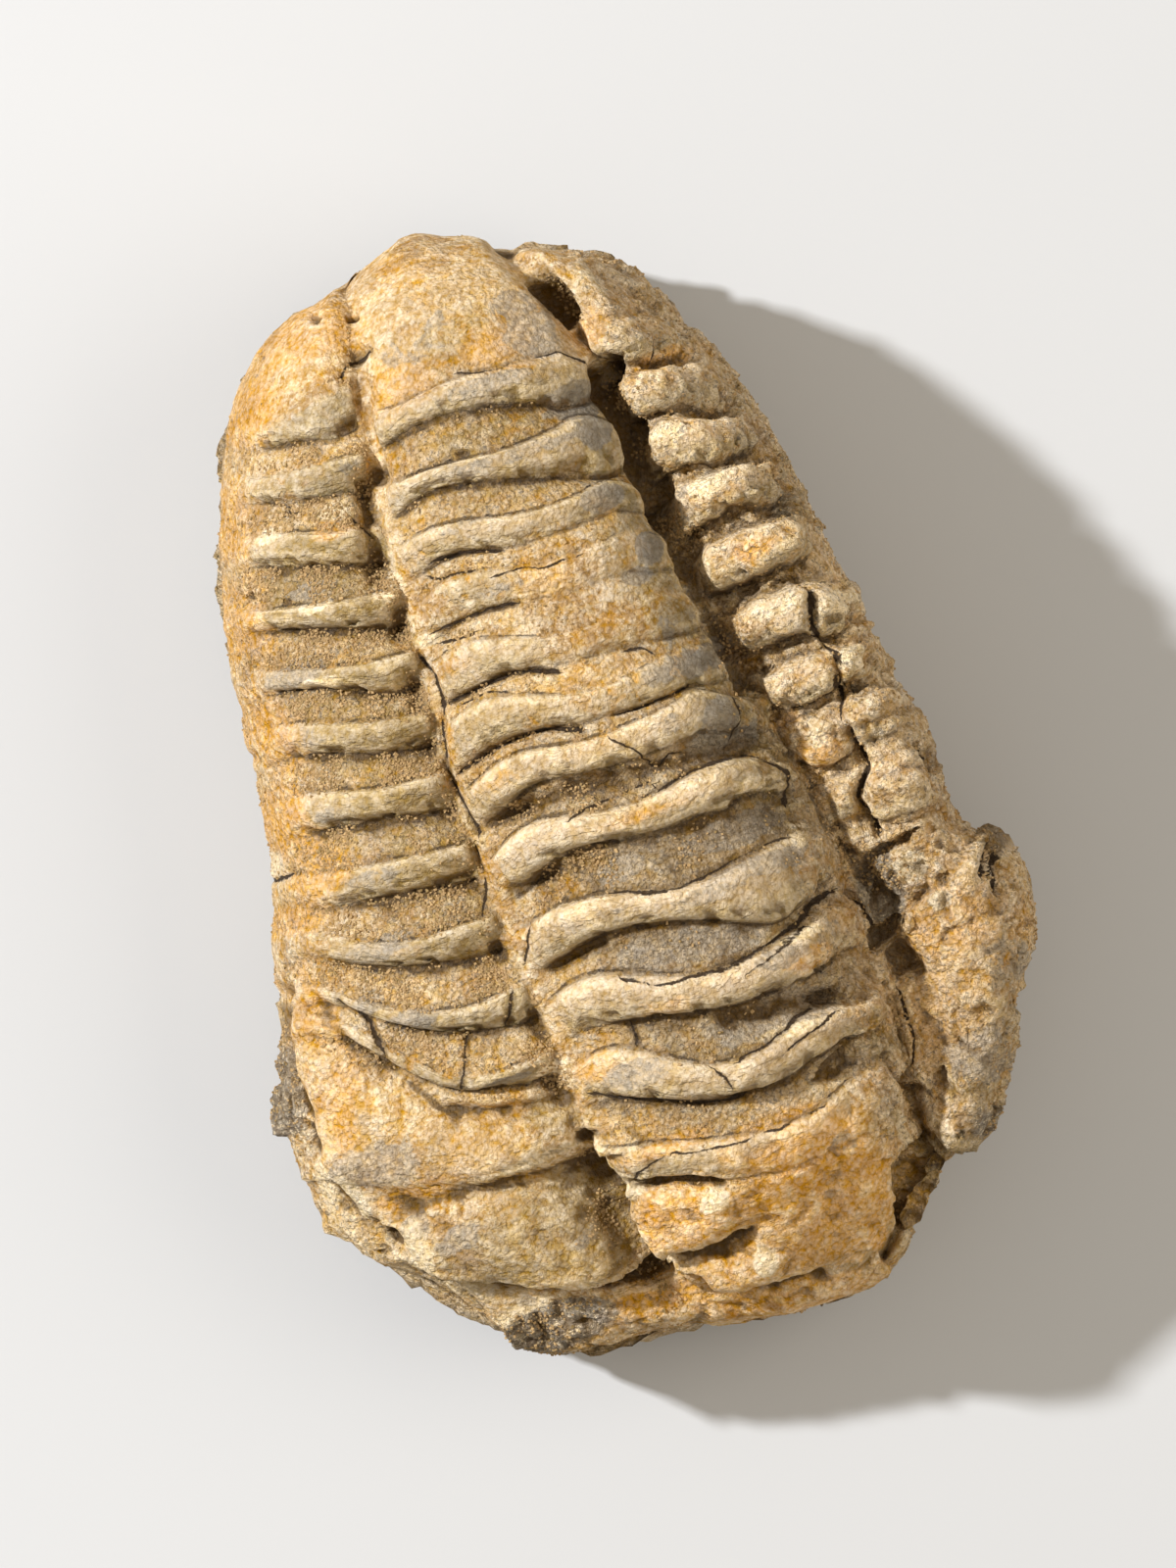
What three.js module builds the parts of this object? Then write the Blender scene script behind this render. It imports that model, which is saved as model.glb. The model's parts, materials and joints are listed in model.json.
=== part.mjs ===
// A fossil trilobite, about 73 mm long: one piece of brown stone that keeps the animal's back in relief.
// The back has a raised middle lobe crossed by ring after ring, a ribbed side lobe on either hand, a smooth
// tail that curls over at one end and a broad broken head shield at the other. Under the margin it is rough
// rock, worn flat beneath, and it lies on that flat.
// Millimetres. +Y runs to the tail, +Z is up, and the origin is under the middle of the outline.
import * as THREE from "three";

// ---- Driving dimensions ----
const OUTLINE_MIDDLE = [-3.81, 1.63]; // of the sketch coordinates below; it becomes the origin
const MARGIN_HEIGHT = 8; // of the outline's widest line above the ground
const UNDERCUT = 7; // how far the rock flank runs in under the margin
const FLAT_MIDDLE = [-3.5, 2]; // of the worn flat under the stone
const FLAT_RADII = [13.5, 23];
const RING_RELIEF = 0.8; // half of a ring's height above its groove
const RIB_RELIEF = 0.6;
const KNOB_RELIEF = 0.8; // the right side lobe is broken into knobs
const TAIL_END = -2.6; // both ends, in segments counted from the tail
const HEAD_END = 15.6;
const LOBE_ROUNDNESS = 1.35; // of the middle lobe: 1 is half an ellipse, more is softer at the furrows

// ---- Guides: each runs from tail to head, and a knot is [segment, x, y] or [segment, x, y, z] ----
const TAIL_TIP = [TAIL_END, -1, 38.1, MARGIN_HEIGHT];
const HEAD_TIP = [HEAD_END, 0.5, -34.3, MARGIN_HEIGHT - 1];
const flatKnots = (rows) => rows.map(([q, x, y]) => [q, x, y, MARGIN_HEIGHT]);
const LEFT_MARGIN = [
  TAIL_TIP,
  ...flatKnots([
    [-2.1, -6.6, 36.4],
    [-1.1, -11.6, 35.2],
    [0, -15.7, 31.4],
    [1.5, -18.3, 26.2],
    [3, -20.4, 20],
    [5, -21.7, 11.5],
    [6.7, -22.6, 4],
    [8.2, -24.4, -1.6],
    [10, -26.4, -7.6],
    [11.5, -27.7, -13],
    [12.8, -26.9, -20.3],
    [13.9, -22.2, -26.6],
    [14.8, -16.6, -32],
    [15.3, -8.5, -33.2],
  ]),
  HEAD_TIP,
];
const LEFT_FURROW = [
  TAIL_TIP,
  [-2.1, -5.7, 36.6, 13.5],
  [-1, -6.4, 34.2, 18.2],
  [0, -7.4, 30.2, 20.6],
  [2, -8.5, 21.2, 22],
  [4, -9, 13, 22.3],
  [6, -9.7, 5, 22.2],
  [8, -9.7, -4.1, 21.6],
  [10, -8.9, -13.3, 20.4],
  [12, -9.2, -22.3, 18.2],
  [13.5, -8.9, -27.8, 15.6],
  [14.6, -6.8, -31.4, 13],
  [15.2, -4, -33.4, 11],
  HEAD_TIP,
];
const CREST = [
  TAIL_TIP,
  [-2.1, -1.2, 37.7, 14.5],
  [-1, -1, 34.9, 20.6],
  [0, -0.6, 30.9, 23.6],
  [2, -0.4, 21.3, 26],
  [5, -0.2, 8.5, 27],
  [7, 0.2, 1.6, 26.8],
  [9, 0.8, -8.8, 25.6],
  [10, 1, -14.8, 24.4],
  [11, 1, -20.4, 23],
  [12, 0.8, -24.8, 21.4],
  [13.5, 0.3, -29.7, 18.4],
  [14.6, 0.2, -33, 14.6],
  [15.2, 0.4, -34.1, 11.4],
  HEAD_TIP,
];
const RIGHT_FURROW = [
  TAIL_TIP,
  [-2.1, 2.9, 36.3, 13.5],
  [-1, 5.3, 33.7, 17.6],
  [0, 6.7, 29.6, 19.4],
  [2, 7.8, 20.2, 20.6],
  [4, 8.8, 12.4, 20.8],
  [6, 9.8, 4.7, 20.6],
  [8, 10.9, -3.4, 19.8],
  [9, 11.3, -8.7, 18.9],
  [10.5, 11.3, -16.4, 17.6],
  [12, 10.8, -22.6, 16.2],
  [13.5, 9, -28.4, 14.2],
  [14.6, 7, -31.6, 12],
  [15.2, 4.6, -33.8, 10],
  HEAD_TIP,
];
const RIGHT_MARGIN = [
  TAIL_TIP,
  ...flatKnots([
    [-2.1, 6.2, 34.5],
    [-1, 10.3, 32.4],
    [0, 12.5, 29.3],
    [1.5, 15, 23.4],
    [3, 16.4, 17.6],
    [5, 17.3, 9.6],
    [6.7, 18.3, 2],
    [8, 19.3, -3.8],
    [9.1, 19.2, -8.2],
    [9.8, 20.9, -10.6],
    [11, 21.1, -15.6],
    [12.3, 18, -22],
    [13.4, 15.2, -26.2],
    [14.4, 9.6, -31],
    [15.1, 5.6, -34.1],
  ]),
  HEAD_TIP,
];

// ---- Where each ring and rib lies ----
// The bands run unevenly: the crushed right side leans, and they fan out towards the head. A band is drawn as
// its upper and lower edge in plan, with how strongly its step shows at the left, middle and right.
// The rings across the middle lobe, from the tail.
const RINGS = [
  {
    upper: [
      [-8, 27.6], [-4, 27.9], [-1, 28.3], [3, 27.9], [5.5, 27.6], [6.8, 26],
    ],
    lower: [
      [-7.5, 25.3], [-6.3, 26.1], [-4.8, 26.4], [-2, 26.1], [1, 25.8], [3, 25], [5, 24.1], [7, 23.6],
    ],
    shows: [1, 0.9, 0.75],
  },
  {
    upper: [
      [-8, 22.9], [-3.5, 23.3], [0, 23], [3, 23.1], [5, 23.6], [6.3, 22.9], [7.3, 21.6],
    ],
    lower: [
      [-8, 21.2], [-5.5, 22.2], [-3, 21.9], [0, 21.2], [2.5, 20.4], [4.5, 19.4], [7, 18.9],
    ],
    shows: [1.05, 1, 0.85],
  },
  {
    upper: [
      [-8, 19.9], [-4, 19.7], [-2, 19.2], [0.5, 18.7], [3, 18.7], [5, 19], [6.5, 18.4], [7.5, 17],
    ],
    lower: [
      [-8, 17.6], [-6, 17.8], [-4, 17.4], [-2, 17], [1, 16.9], [4, 17], [6.5, 16.5], [8, 15.7],
    ],
    shows: [0.8, 0.3, 0.45],
  },
  {
    upper: [
      [-8.3, 16.8], [-5, 16.7], [-3, 16], [0, 15.5], [3, 15.4], [5, 15.6], [7, 15], [8.3, 14],
    ],
    lower: [
      [-8.5, 13.6], [-5.5, 14], [-2.7, 13.7], [0, 13.3], [3, 13.4], [6, 12.6], [8.5, 11.8],
    ],
    shows: [0.75, 0.2, 0.35],
  },
  {
    upper: [
      [-8.8, 12.9], [-6, 12.8], [-4, 11.8], [-2, 11.1], [0, 10.5], [2, 10.8], [5, 11.4], [7, 11], [9, 10],
    ],
    lower: [
      [-9, 9.2], [-6, 9.6], [-4.5, 9.7], [-2.5, 9.2], [0, 8.7], [3, 8.6], [6, 8.3], [9, 8],
    ],
    shows: [0.85, 0.3, 0.4],
  },
  {
    upper: [
      [-9.3, 8.8], [-6, 8.9], [-4, 8.1], [-2, 7], [0, 6.7], [3, 6.9], [6, 7.5], [7.5, 7.2], [9.3, 6],
    ],
    lower: [
      [-9.6, 4.9], [-7, 5.6], [-4, 5.6], [-1.5, 5], [2, 4.8], [6, 4.8], [9.5, 4.6],
    ],
    shows: [0.95, 0.45, 0.45],
  },
  {
    upper: [
      [-9.6, 4.6], [-6, 4.9], [-3, 4.2], [0, 3.9], [3, 4.3], [6, 4.6], [8, 4], [9.8, 2.5],
    ],
    lower: [
      [-9.5, 0.9], [-8, 1.7], [-6, 2.4], [-3.5, 2.2], [0, 1.8], [3, 1.9], [6.5, 1.7], [10, 1.2],
    ],
    shows: [1.25, 0.9, 0.9],
  },
  {
    upper: [
      [-9.7, 0.3], [-6, 0.5], [-3, -0.2], [0, -0.8], [2, -0.8], [4.5, 0], [8, -0.1], [9.3, -1],
      [10.4, -2.5],
    ],
    lower: [
      [-9.5, -4.3], [-7.5, -3.2], [-5.5, -2], [-3, -2.2], [0.8, -3.3], [2.3, -2.9], [5, -3], [8, -2.8],
      [11, -3.6],
    ],
    shows: [1.35, 1.1, 1.1],
  },
  {
    upper: [
      [-9.3, -5.5], [-6, -5.1], [-3, -5.5], [0, -6.6], [3.2, -7], [5.5, -6.3], [9, -5.8], [11.2, -7],
    ],
    lower: [
      [-9, -9.3], [-7, -8.3], [-4, -7.9], [-1, -8.6], [2, -9.3], [4, -10.2], [6.5, -11], [11, -9.9],
    ],
    shows: [1.3, 1, 1],
  },
  {
    upper: [
      [-9, -9.9], [-6, -9.7], [-4, -10.6], [-2, -11.6], [0.5, -12.4], [3, -12.5], [6.5, -11.9],
      [8.5, -11.3], [10, -10.6], [11.4, -10.8],
    ],
    lower: [
      [-9, -13.2], [-6, -13.6], [-3, -14.1], [0, -14.8], [4, -15.1], [8, -14.7], [11.4, -13.5],
    ],
    shows: [1.1, 1.1, 1.15],
  },
  {
    upper: [
      [-9.5, -14.6], [-7.5, -14.2], [-5, -15], [-2.5, -17], [0, -18.7], [2, -18.2], [4, -17.9],
      [6.5, -16.9], [9, -17.3], [11.3, -17.6],
    ],
    lower: [
      [-9.5, -16.2], [-7.5, -17.8], [-5, -18.8], [-2, -20.3], [0, -20.6], [3, -20.8], [5.5, -20.2],
      [8, -19.4], [11, -19.5],
    ],
    shows: [1.05, 1.05, 0.8],
  },
  {
    upper: [
      [-9.2, -21.4], [-7, -21], [-4, -21.9], [-1, -22.7], [2, -23], [5, -22.8], [7.5, -21.8],
      [10.5, -21.5],
    ],
    lower: [
      [-8.6, -23.3], [-6, -24], [-3, -25], [0, -25.8], [4, -26], [10.5, -25],
    ],
    shows: [0.8, 0.3, 0.3],
  },
];
// The ribs of the left side lobe.
const LEFT_RIBS = [
  {
    upper: [
      [-17, 30.4], [-14, 30.8], [-10, 30.9], [-8, 30.7],
    ],
    lower: [
      [-17, 28.2], [-14, 28], [-12.5, 27.9], [-10.5, 27.3], [-8, 27.2],
    ],
    shows: [0.7, 0.7, 0.7],
  },
  {
    upper: [
      [-18, 26.6], [-14, 26.3], [-10, 26], [-8, 26],
    ],
    lower: [
      [-18, 25.2], [-15.5, 24.8], [-13, 24.2], [-11, 23.8], [-8, 23.4],
    ],
    shows: [0.8, 0.8, 0.8],
  },
  {
    upper: [
      [-19.5, 23.6], [-16, 23], [-13, 22], [-10.5, 21.2], [-8, 20.8],
    ],
    lower: [
      [-20, 22.3], [-18.5, 21.5], [-16, 20.7], [-13, 19.7], [-10.5, 18.8], [-8, 18],
    ],
    shows: [1.25, 1.25, 1.25],
  },
  {
    upper: [
      [-20.5, 19], [-16, 18.2], [-13.5, 17.5], [-11, 17.1], [-8.5, 16.4],
    ],
    lower: [
      [-20.5, 18], [-18, 17.1], [-15, 16.2], [-12, 15], [-10, 14.2], [-8.5, 13.9],
    ],
    shows: [1.25, 1.25, 1.25],
  },
  {
    upper: [
      [-21.5, 15.6], [-18, 14.6], [-14, 13.4], [-11, 13], [-9, 12.7],
    ],
    lower: [
      [-21.5, 14.2], [-18, 13.1], [-16, 12.4], [-13, 11.2], [-11, 10.2], [-9, 9.9],
    ],
    shows: [1.25, 1.25, 1.25],
  },
  {
    upper: [
      [-22, 12], [-18, 11], [-15, 10], [-12, 9.3], [-9.3, 9.2],
    ],
    lower: [
      [-22, 9.9], [-19.5, 9.1], [-16.5, 8.2], [-13.5, 7.4], [-11, 6.9], [-9.3, 6.8],
    ],
    shows: [1.2, 1.2, 1.2],
  },
  {
    upper: [
      [-22.5, 6.9], [-18, 6.4], [-16, 5.9], [-13, 5.2], [-10.5, 5.6], [-9.5, 5.5],
    ],
    lower: [
      [-22.5, 4.4], [-19, 4], [-16, 3.6], [-13, 3], [-11, 2.5], [-9.5, 2.5],
    ],
    shows: [1.15, 1.15, 1.15],
  },
  {
    upper: [
      [-23, 2.2], [-20, 1.6], [-16, 1], [-12, 0.5], [-9.5, 0.4],
    ],
    lower: [
      [-23.5, 0], [-20, -0.8], [-17, -1.2], [-14, -1.7], [-11, -2.3], [-9.5, -2.4],
    ],
    shows: [1.1, 1.1, 1.1],
  },
  {
    upper: [
      [-24, -0.6], [-22, -1.4], [-20, -2.6], [-17.5, -4.1], [-14, -4.4], [-11, -4.5], [-9.2, -4.9],
    ],
    lower: [
      [-24, -1.9], [-22.5, -2.9], [-21, -4.1], [-19, -5.3], [-16.5, -6], [-13.5, -6.6], [-11, -7.2],
      [-9.2, -7.6],
    ],
    shows: [1.05, 1.05, 1.05],
  },
  {
    upper: [
      [-24.5, -3], [-22, -5.3], [-20, -7], [-17.5, -8.6], [-14, -9.4], [-11.5, -9.3], [-9, -9.3],
    ],
    lower: [
      [-25, -3.8], [-21.5, -6.8], [-20, -8.2], [-18, -9.9], [-16, -10.6], [-13, -11.4], [-10.5, -12.1],
      [-9, -12.2],
    ],
    shows: [0.9, 0.9, 0.9],
  },
  {
    upper: [
      [-24.5, -4.5], [-22, -7], [-20, -9.8], [-18, -12.2], [-16.2, -13.7], [-14.5, -13.9], [-12, -13.8],
      [-9, -14],
    ],
    lower: [
      [-25, -5.5], [-22.5, -8.2], [-20.5, -10.8], [-18.5, -13.2], [-17, -14.6], [-15.5, -14.9],
      [-12.5, -15.3], [-9, -16],
    ],
    shows: [0.7, 0.7, 0.7],
  },
];
// The broken knobs of the right side lobe.
const RIGHT_KNOBS = [
  {
    upper: [
      [6.8, 28.6], [10, 28.6], [13.4, 27.6],
    ],
    lower: [
      [7.6, 25.7], [10, 25.4], [13, 25], [14.8, 24.6],
    ],
    shows: [0.8, 0.8, 0.8],
  },
  {
    upper: [
      [7.6, 24.9], [10, 24.8], [13, 24.3], [15, 23.6],
    ],
    lower: [
      [7.8, 22], [10, 21.8], [12, 21.8], [13.2, 21], [15.6, 20.4],
    ],
    shows: [1, 1, 1],
  },
  {
    upper: [
      [7.9, 20.9], [10, 21.3], [12, 20.9], [15.8, 19.7],
    ],
    lower: [
      [8, 17.9], [11, 18], [13, 17.8], [14.5, 18], [16.3, 17.2],
    ],
    shows: [1, 1, 1],
  },
  {
    upper: [
      [8.3, 16.9], [10, 17.3], [13, 17.2], [16.6, 16.4],
    ],
    lower: [
      [8.5, 14.1], [11, 14.5], [13, 14.6], [15, 14.2], [16.9, 13.8],
    ],
    shows: [1.2, 1.2, 1.2],
  },
  {
    upper: [
      [8.8, 12.9], [10, 13.3], [14, 13.3], [17.2, 12.8],
    ],
    lower: [
      [9, 10], [12, 10.1], [15.2, 10.2], [17.3, 9.8],
    ],
    shows: [1.4, 1.4, 1.4],
  },
  {
    upper: [
      [9.2, 8.2], [12, 9], [14.5, 9], [17.6, 8.4],
    ],
    lower: [
      [9.3, 5.8], [12, 5.8], [13.5, 5.8], [15.5, 5.2], [18, 4.9],
    ],
    shows: [1.1, 1.1, 1.1],
  },
  {
    upper: [
      [9.8, 3.8], [12, 4.5], [15, 4.4], [18.2, 4.3],
    ],
    lower: [
      [10, 2], [12, 1.3], [14, 1.6], [16, 1.6], [18.6, 1.7],
    ],
    shows: [0.7, 0.7, 0.7],
  },
  {
    upper: [
      [10.6, 0.7], [13, 0.9], [16, 1], [19, 0.8],
    ],
    lower: [
      [10.9, -2.5], [13, -2.7], [15, -2.2], [19.2, -1.8],
    ],
    shows: [0.7, 0.7, 0.7],
  },
  {
    upper: [
      [11.3, -3.4], [13, -3.5], [16, -3.3], [19.4, -3],
    ],
    lower: [
      [11.5, -6.1], [13.5, -6.3], [15, -7.2], [19.4, -7],
    ],
    shows: [0.5, 0.5, 0.5],
  },
];

const BAND_START = 0.45; // the share of a segment that lies above a band's upper edge
const PLEURA_OFFSET = 0.43; // the side ribs lie this much of a segment nearer the tail than their rings
// A band's height through one segment, from the groove behind it to the drop on its head side.
const BAND_PROFILE = [
  [0, -1],
  [0.08, -0.85],
  [0.2, -0.5],
  [0.44, -0.2],
  [0.53, 0.6],
  [0.75, 1],
  [0.94, 0.85],
  [1, -1],
];
// How the side lobes fall from furrow to margin, by segment: less is flatter on top and steeper outside.
const FLATNESS = {
  left: [[TAIL_END, 0.55], [HEAD_END, 0.55]],
  right: [[TAIL_END, 0.5], [2.5, 0.42], [4.5, 0.28], [6, 0.24], [12, 0.24], [13.5, 0.38], [HEAD_END, 0.5]],
};

// ---- Single features of the back ----
// Grooves pressed in along a line: [depth, half width, ...points].
const GROOVES = [
  [1.6, 0.7, [7.4, 25.8], [7.7, 22], [8, 18], [8.5, 13], [9.3, 6], [9.5, 4]], // the right furrow, deep and narrow
  [0.6, 0.7, [9.5, 4], [10.5, -0.5], [11.6, -6]],
  [0.4, 0.7, [-7, 32], [-8.8, 21], [-10, 5], [-10.1, -4], [-9.4, -13], [-9.4, -19]], // the left furrow
  [0.6, 0.8, [-9, 1.2], [-4, 1.3], [2, 0.9], [8.5, 0.4]], // troughs between the broad rings
  [0.6, 0.8, [1.5, -15.7], [4, -16.2], [8.6, -16.2]],
  [1, 0.6, [-8.3, -23.4], [-6.3, -24], [-4.5, -24.5], [-2.6, -25.3]], // behind the head's rear lobe
  [1.2, 0.7, [-7.2, -28.9], [-5.5, -29.2], [-4, -29.4], [-2.6, -28.9]], // in front of it
  [0.9, 0.6, [-5.4, -31.7], [-2.5, -32.7], [1.6, -33]], // along the front border
  [1.5, 1, [-9, -20.4], [-9.3, -22], [-9.5, -25], [-9.2, -27.5], [-8.8, -28.6]], // left of the head's middle
  [0.4, 0.6, [-23.5, -3.5], [-21.6, -9.6], [-17.5, -15.4], [-14, -16.4]], // rear edge of the head
  [1.4, 0.7, [14.8, 9.4], [14.5, 6], [15.1, 2.7], [14.6, -2], [13.8, -5.4], [14.1, -7.6]], // parts the knobs
  [0.7, 0.7, [13.4, 26.6], [14.6, 20], [15.3, 15.6], [15.2, 11.6]],
  [2, 1.1, [11.6, -6.2], [12.4, -9], [12.4, -13.4], [11.4, -17]], // the broken hollow behind the right cheek
  [2, 0.9, [11.2, -17.6], [10.9, -21], [10.8, -24.4], [9.6, -27.2], [8.4, -30.6]], // beside the cheek
  [0.9, 0.5, [18.6, -11.9], [19.6, -10.6], [20.6, -9.8]], // slots at the cheek's corner
  [1.3, 0.8, [-24.9, -5], [-26.2, -10], [-26.1, -14.5]], // between the left cheek and the rock left on
  [0.9, 0.5, [-9.4, 12.4], [-8.9, 9.6], [-9.9, 6.6], [-9.7, 0.8]], // the crack down the left furrow
  [0.9, 0.5, [5, 34.4], [6.3, 32], [6.9, 29.6]],
  [0.5, 1.2, [6.2, -23.6], [4.6, -26.4], [3.4, -29.6]],
];
// Ledges: the ground drops on the right-hand side of the line as it is walked: [drop, run, ...points].
const LEDGES = [
  [0.35, 1.6, [-25.6, -17.4], [-23, -18.8], [-20, -19.9], [-15.5, -20.2]],
  [1.1, 1.4, [-14.8, -20.4], [-12, -20.7], [-9.8, -20.9]],
  [1.5, 2, [-20.6, -25], [-17.8, -26.6], [-15, -28.1], [-13, -29], [-10.6, -29.5]],
];
// Lumps: [x, y, z, radius along x, along y, along z, height].
const LUMPS = [
  [-5.4, -26.5, 20, 3, 2.1, 9, 1.5], // rear lobe of the head's middle
  [-4.6, -30.7, 16, 2.4, 1, 9, 0.9], // the lobe in front of it
  [-20, -14.6, 17, 5.5, 4, 9, 1.1], // left cheek, rear part
  [-14.6, -24.4, 17, 4.2, 2.6, 9, 1.3], // left cheek, front part
  [16.6, -15.4, 13, 3.4, 4.4, 9, 1.3], // right cheek
  [19.6, -12.4, 10, 1.6, 2.6, 5, 1],
  [-23.2, 10.2, 7.5, 1.3, 1.9, 4, 1.6], // rock left on the flank
  [-28, -10, 7, 1.9, 2.4, 5, 2.2],
  [-16, -31.4, 9, 2.2, 1.3, 5, 0.9],
  [5, -33.6, 8, 1.2, 1.1, 4, 0.8],
];
const PITS = [
  [16.8, 1.7, 15, 0.9, 0.7, 5, -1.4],
  [18.6, -4.2, 12, 0.6, 1.2, 5, -1.2],
  [12.2, -13.4, 17, 1, 1, 6, -1.4],
  [8.2, 26.1, 20, 0.9, 0.7, 6, -1.2],
  [6.2, 31.2, 19, 1, 1.6, 6, -1.6],
  [-8.2, 1, 22, 1.4, 0.7, 5, -0.9],
  [-10.6, -29.8, 14, 2.6, 0.9, 6, -1.3],
  [12.5, -13.8, 16, 1.2, 0.8, 6, -1],
];

// ---- Small maths ----
const clamp = (v, low, high) => Math.min(Math.max(v, low), high);
const mix = (a, b, t) => a + (b - a) * t;
const bell = (d) => Math.exp(-d * d);

function ramp(v, low, high) {
  const t = clamp((v - low) / (high - low), 0, 1);
  return t * t * (3 - 2 * t);
}

// Straight stretches between [place, value] pairs.
function stepped(pairs, place) {
  let k = 1;
  while (k < pairs.length - 1 && place > pairs[k][0]) k += 1;
  const [a, b] = [pairs[k - 1], pairs[k]];
  return mix(a[1], b[1], clamp((place - a[0]) / (b[0] - a[0]), 0, 1));
}

// A smooth curve through knots [place, ...values]: cubic stretches, with slopes from the neighbours.
function along(knots, place) {
  let k = 1;
  while (k < knots.length - 1 && place > knots[k][0]) k += 1;
  const [a, b] = [knots[k - 1], knots[k]];
  const before = knots[Math.max(k - 2, 0)];
  const after = knots[Math.min(k + 1, knots.length - 1)];
  const span = b[0] - a[0];
  const t = clamp((place - a[0]) / span, 0, 1);
  const bend = t * t * (3 - 2 * t);
  const start = t * (1 - t) * (1 - t);
  const end = t * t * (t - 1);
  return a.slice(1).map((value, n) => {
    const slopeA = ((b[n + 1] - before[n + 1]) / (b[0] - before[0])) * span;
    const slopeB = ((after[n + 1] - a[n + 1]) / (after[0] - a[0])) * span;
    return mix(value, b[n + 1], bend) + slopeA * start + slopeB * end;
  });
}

const placeAlong = (knots, q) => new THREE.Vector3(...along(knots, q));

// Repeatable value noise, from -1 to 1.
function cornerValue(i, j, k) {
  let h = Math.imul(i, 374761393) ^ Math.imul(j, 668265263) ^ Math.imul(k, 1274126177);
  h = Math.imul(h ^ (h >>> 13), 1103515245);
  return (((h ^ (h >>> 16)) >>> 0) / 4294967295) * 2 - 1;
}

function noise(p, size) {
  const [x, y, z] = [p.x / size, p.y / size, p.z / size];
  const [i, j, k] = [Math.floor(x), Math.floor(y), Math.floor(z)];
  const [u, v, w] = [ramp(x - i, 0, 1), ramp(y - j, 0, 1), ramp(z - k, 0, 1)];
  const edge = (dj, dk) => mix(cornerValue(i, j + dj, k + dk), cornerValue(i + 1, j + dj, k + dk), u);
  const face = (dk) => mix(edge(0, dk), edge(1, dk), v);
  return mix(face(0), face(1), w);
}

// Nearest place on a plan line: the distance, and on which side of it the point lies (+ is the right hand).
function nearest(points, x, y) {
  let best = { distance: Infinity, side: 1 };
  for (let k = 1; k < points.length; k += 1) {
    const [ax, ay] = points[k - 1];
    const [dx, dy] = [points[k][0] - ax, points[k][1] - ay];
    const t = clamp(((x - ax) * dx + (y - ay) * dy) / (dx * dx + dy * dy), 0, 1);
    const distance = Math.hypot(x - ax - dx * t, y - ay - dy * t);
    const side = dy * (x - ax) - dx * (y - ay) >= 0 ? 1 : -1;
    if (distance < best.distance) best = { distance, side };
  }
  return best;
}

// ---- The smooth body: one closed loop of points round the stone for each row ----
// Places across a side lobe: evenly spread on top, and close together where it drops to the margin.
const SIDE_SHARES = [0, 0.13, 0.26, 0.39, 0.52, 0.64, 0.75, 0.85, 0.93, 0.98, 0.998, 1];
const PLEURA_STEPS = SIDE_SHARES.length - 1;
const LOBE_STEPS = 14;
const FLANK_STEPS = 3;
const FLOOR_STEPS = 6;

// How much of its full depth the rock under the margin has: less where the outline closes at either end.
function depthShare(q) {
  const tail = clamp((q - TAIL_END) / 1.7, 0, 1);
  const head = clamp((HEAD_END - q) / 1.5, 0, 1);
  return Math.sqrt(1 - (1 - tail) ** 2) * Math.sqrt(1 - (1 - head) ** 2);
}

const MARGINS = { left: LEFT_MARGIN, right: RIGHT_MARGIN };
const FURROWS = { left: LEFT_FURROW, right: RIGHT_FURROW };
const BANDS = { left: LEFT_RIBS, middle: RINGS, right: RIGHT_KNOBS };

// A side lobe leaves its furrow nearly level and meets the margin standing upright.
function sidePoint(part, q, across) {
  const margin = placeAlong(MARGINS[part], q);
  const furrow = placeAlong(FURROWS[part], q);
  const point = furrow.clone().lerp(margin, across);
  const swell = Math.min(furrow.z - MARGIN_HEIGHT, 1) * 1.2 * bell((across - 0.33) / 0.25);
  const [flatness] = along(FLATNESS[part], q);
  point.z = mix(margin.z, furrow.z, (1 - across * across) ** (flatness / 2)) + swell;
  return point;
}

// The middle lobe is an arch between the two furrows.
function lobePoint(part, q, across) {
  const [left, right, crest] = [LEFT_FURROW, RIGHT_FURROW, CREST].map((guide) => placeAlong(guide, q));
  const middle = left.clone().lerp(right, 0.5);
  const point = left.clone().lerp(right, (across + 1) / 2);
  point.y += (crest.y - middle.y) * (1 - across * across);
  point.z += (crest.z - middle.z) * (1 - across * across) ** (LOBE_ROUNDNESS / 2);
  return point;
}

// How far a point moves along y so that the rows follow the drawn edges of the bands.
function bandShift(surface, part, q, across) {
  const offset = part === "middle" ? 0 : PLEURA_OFFSET;
  const edges = BANDS[part].flatMap(({ upper, lower }, n) => [
    [n + BAND_START - offset, upper],
    [n + 1 - offset, lower],
  ]);
  const shifts = edges.map(([place, edge]) => {
    const point = surface(part, place, across);
    return [place, along(edge, point.x)[0] - point.y];
  });
  const first = [edges[0][0] - 0.9, 0];
  const last = [edges[edges.length - 1][0] + 0.9, 0];
  return stepped([first, ...shifts, last], q);
}

// A place on the back, moved onto the bands' lines, with what the relief needs to know about it.
function bandedPoint(surface, part, q, across) {
  const point = surface(part, q, across);
  const sideFade = ramp(across, 0, 0.15) * (1 - ramp(across, 0.8, 1));
  const fade = part === "middle" ? 1 - Math.abs(across) ** 8 : sideFade;
  point.y += bandShift(surface, part, q, across) * fade;
  return { point, q, part, across, back: 1 };
}

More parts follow.
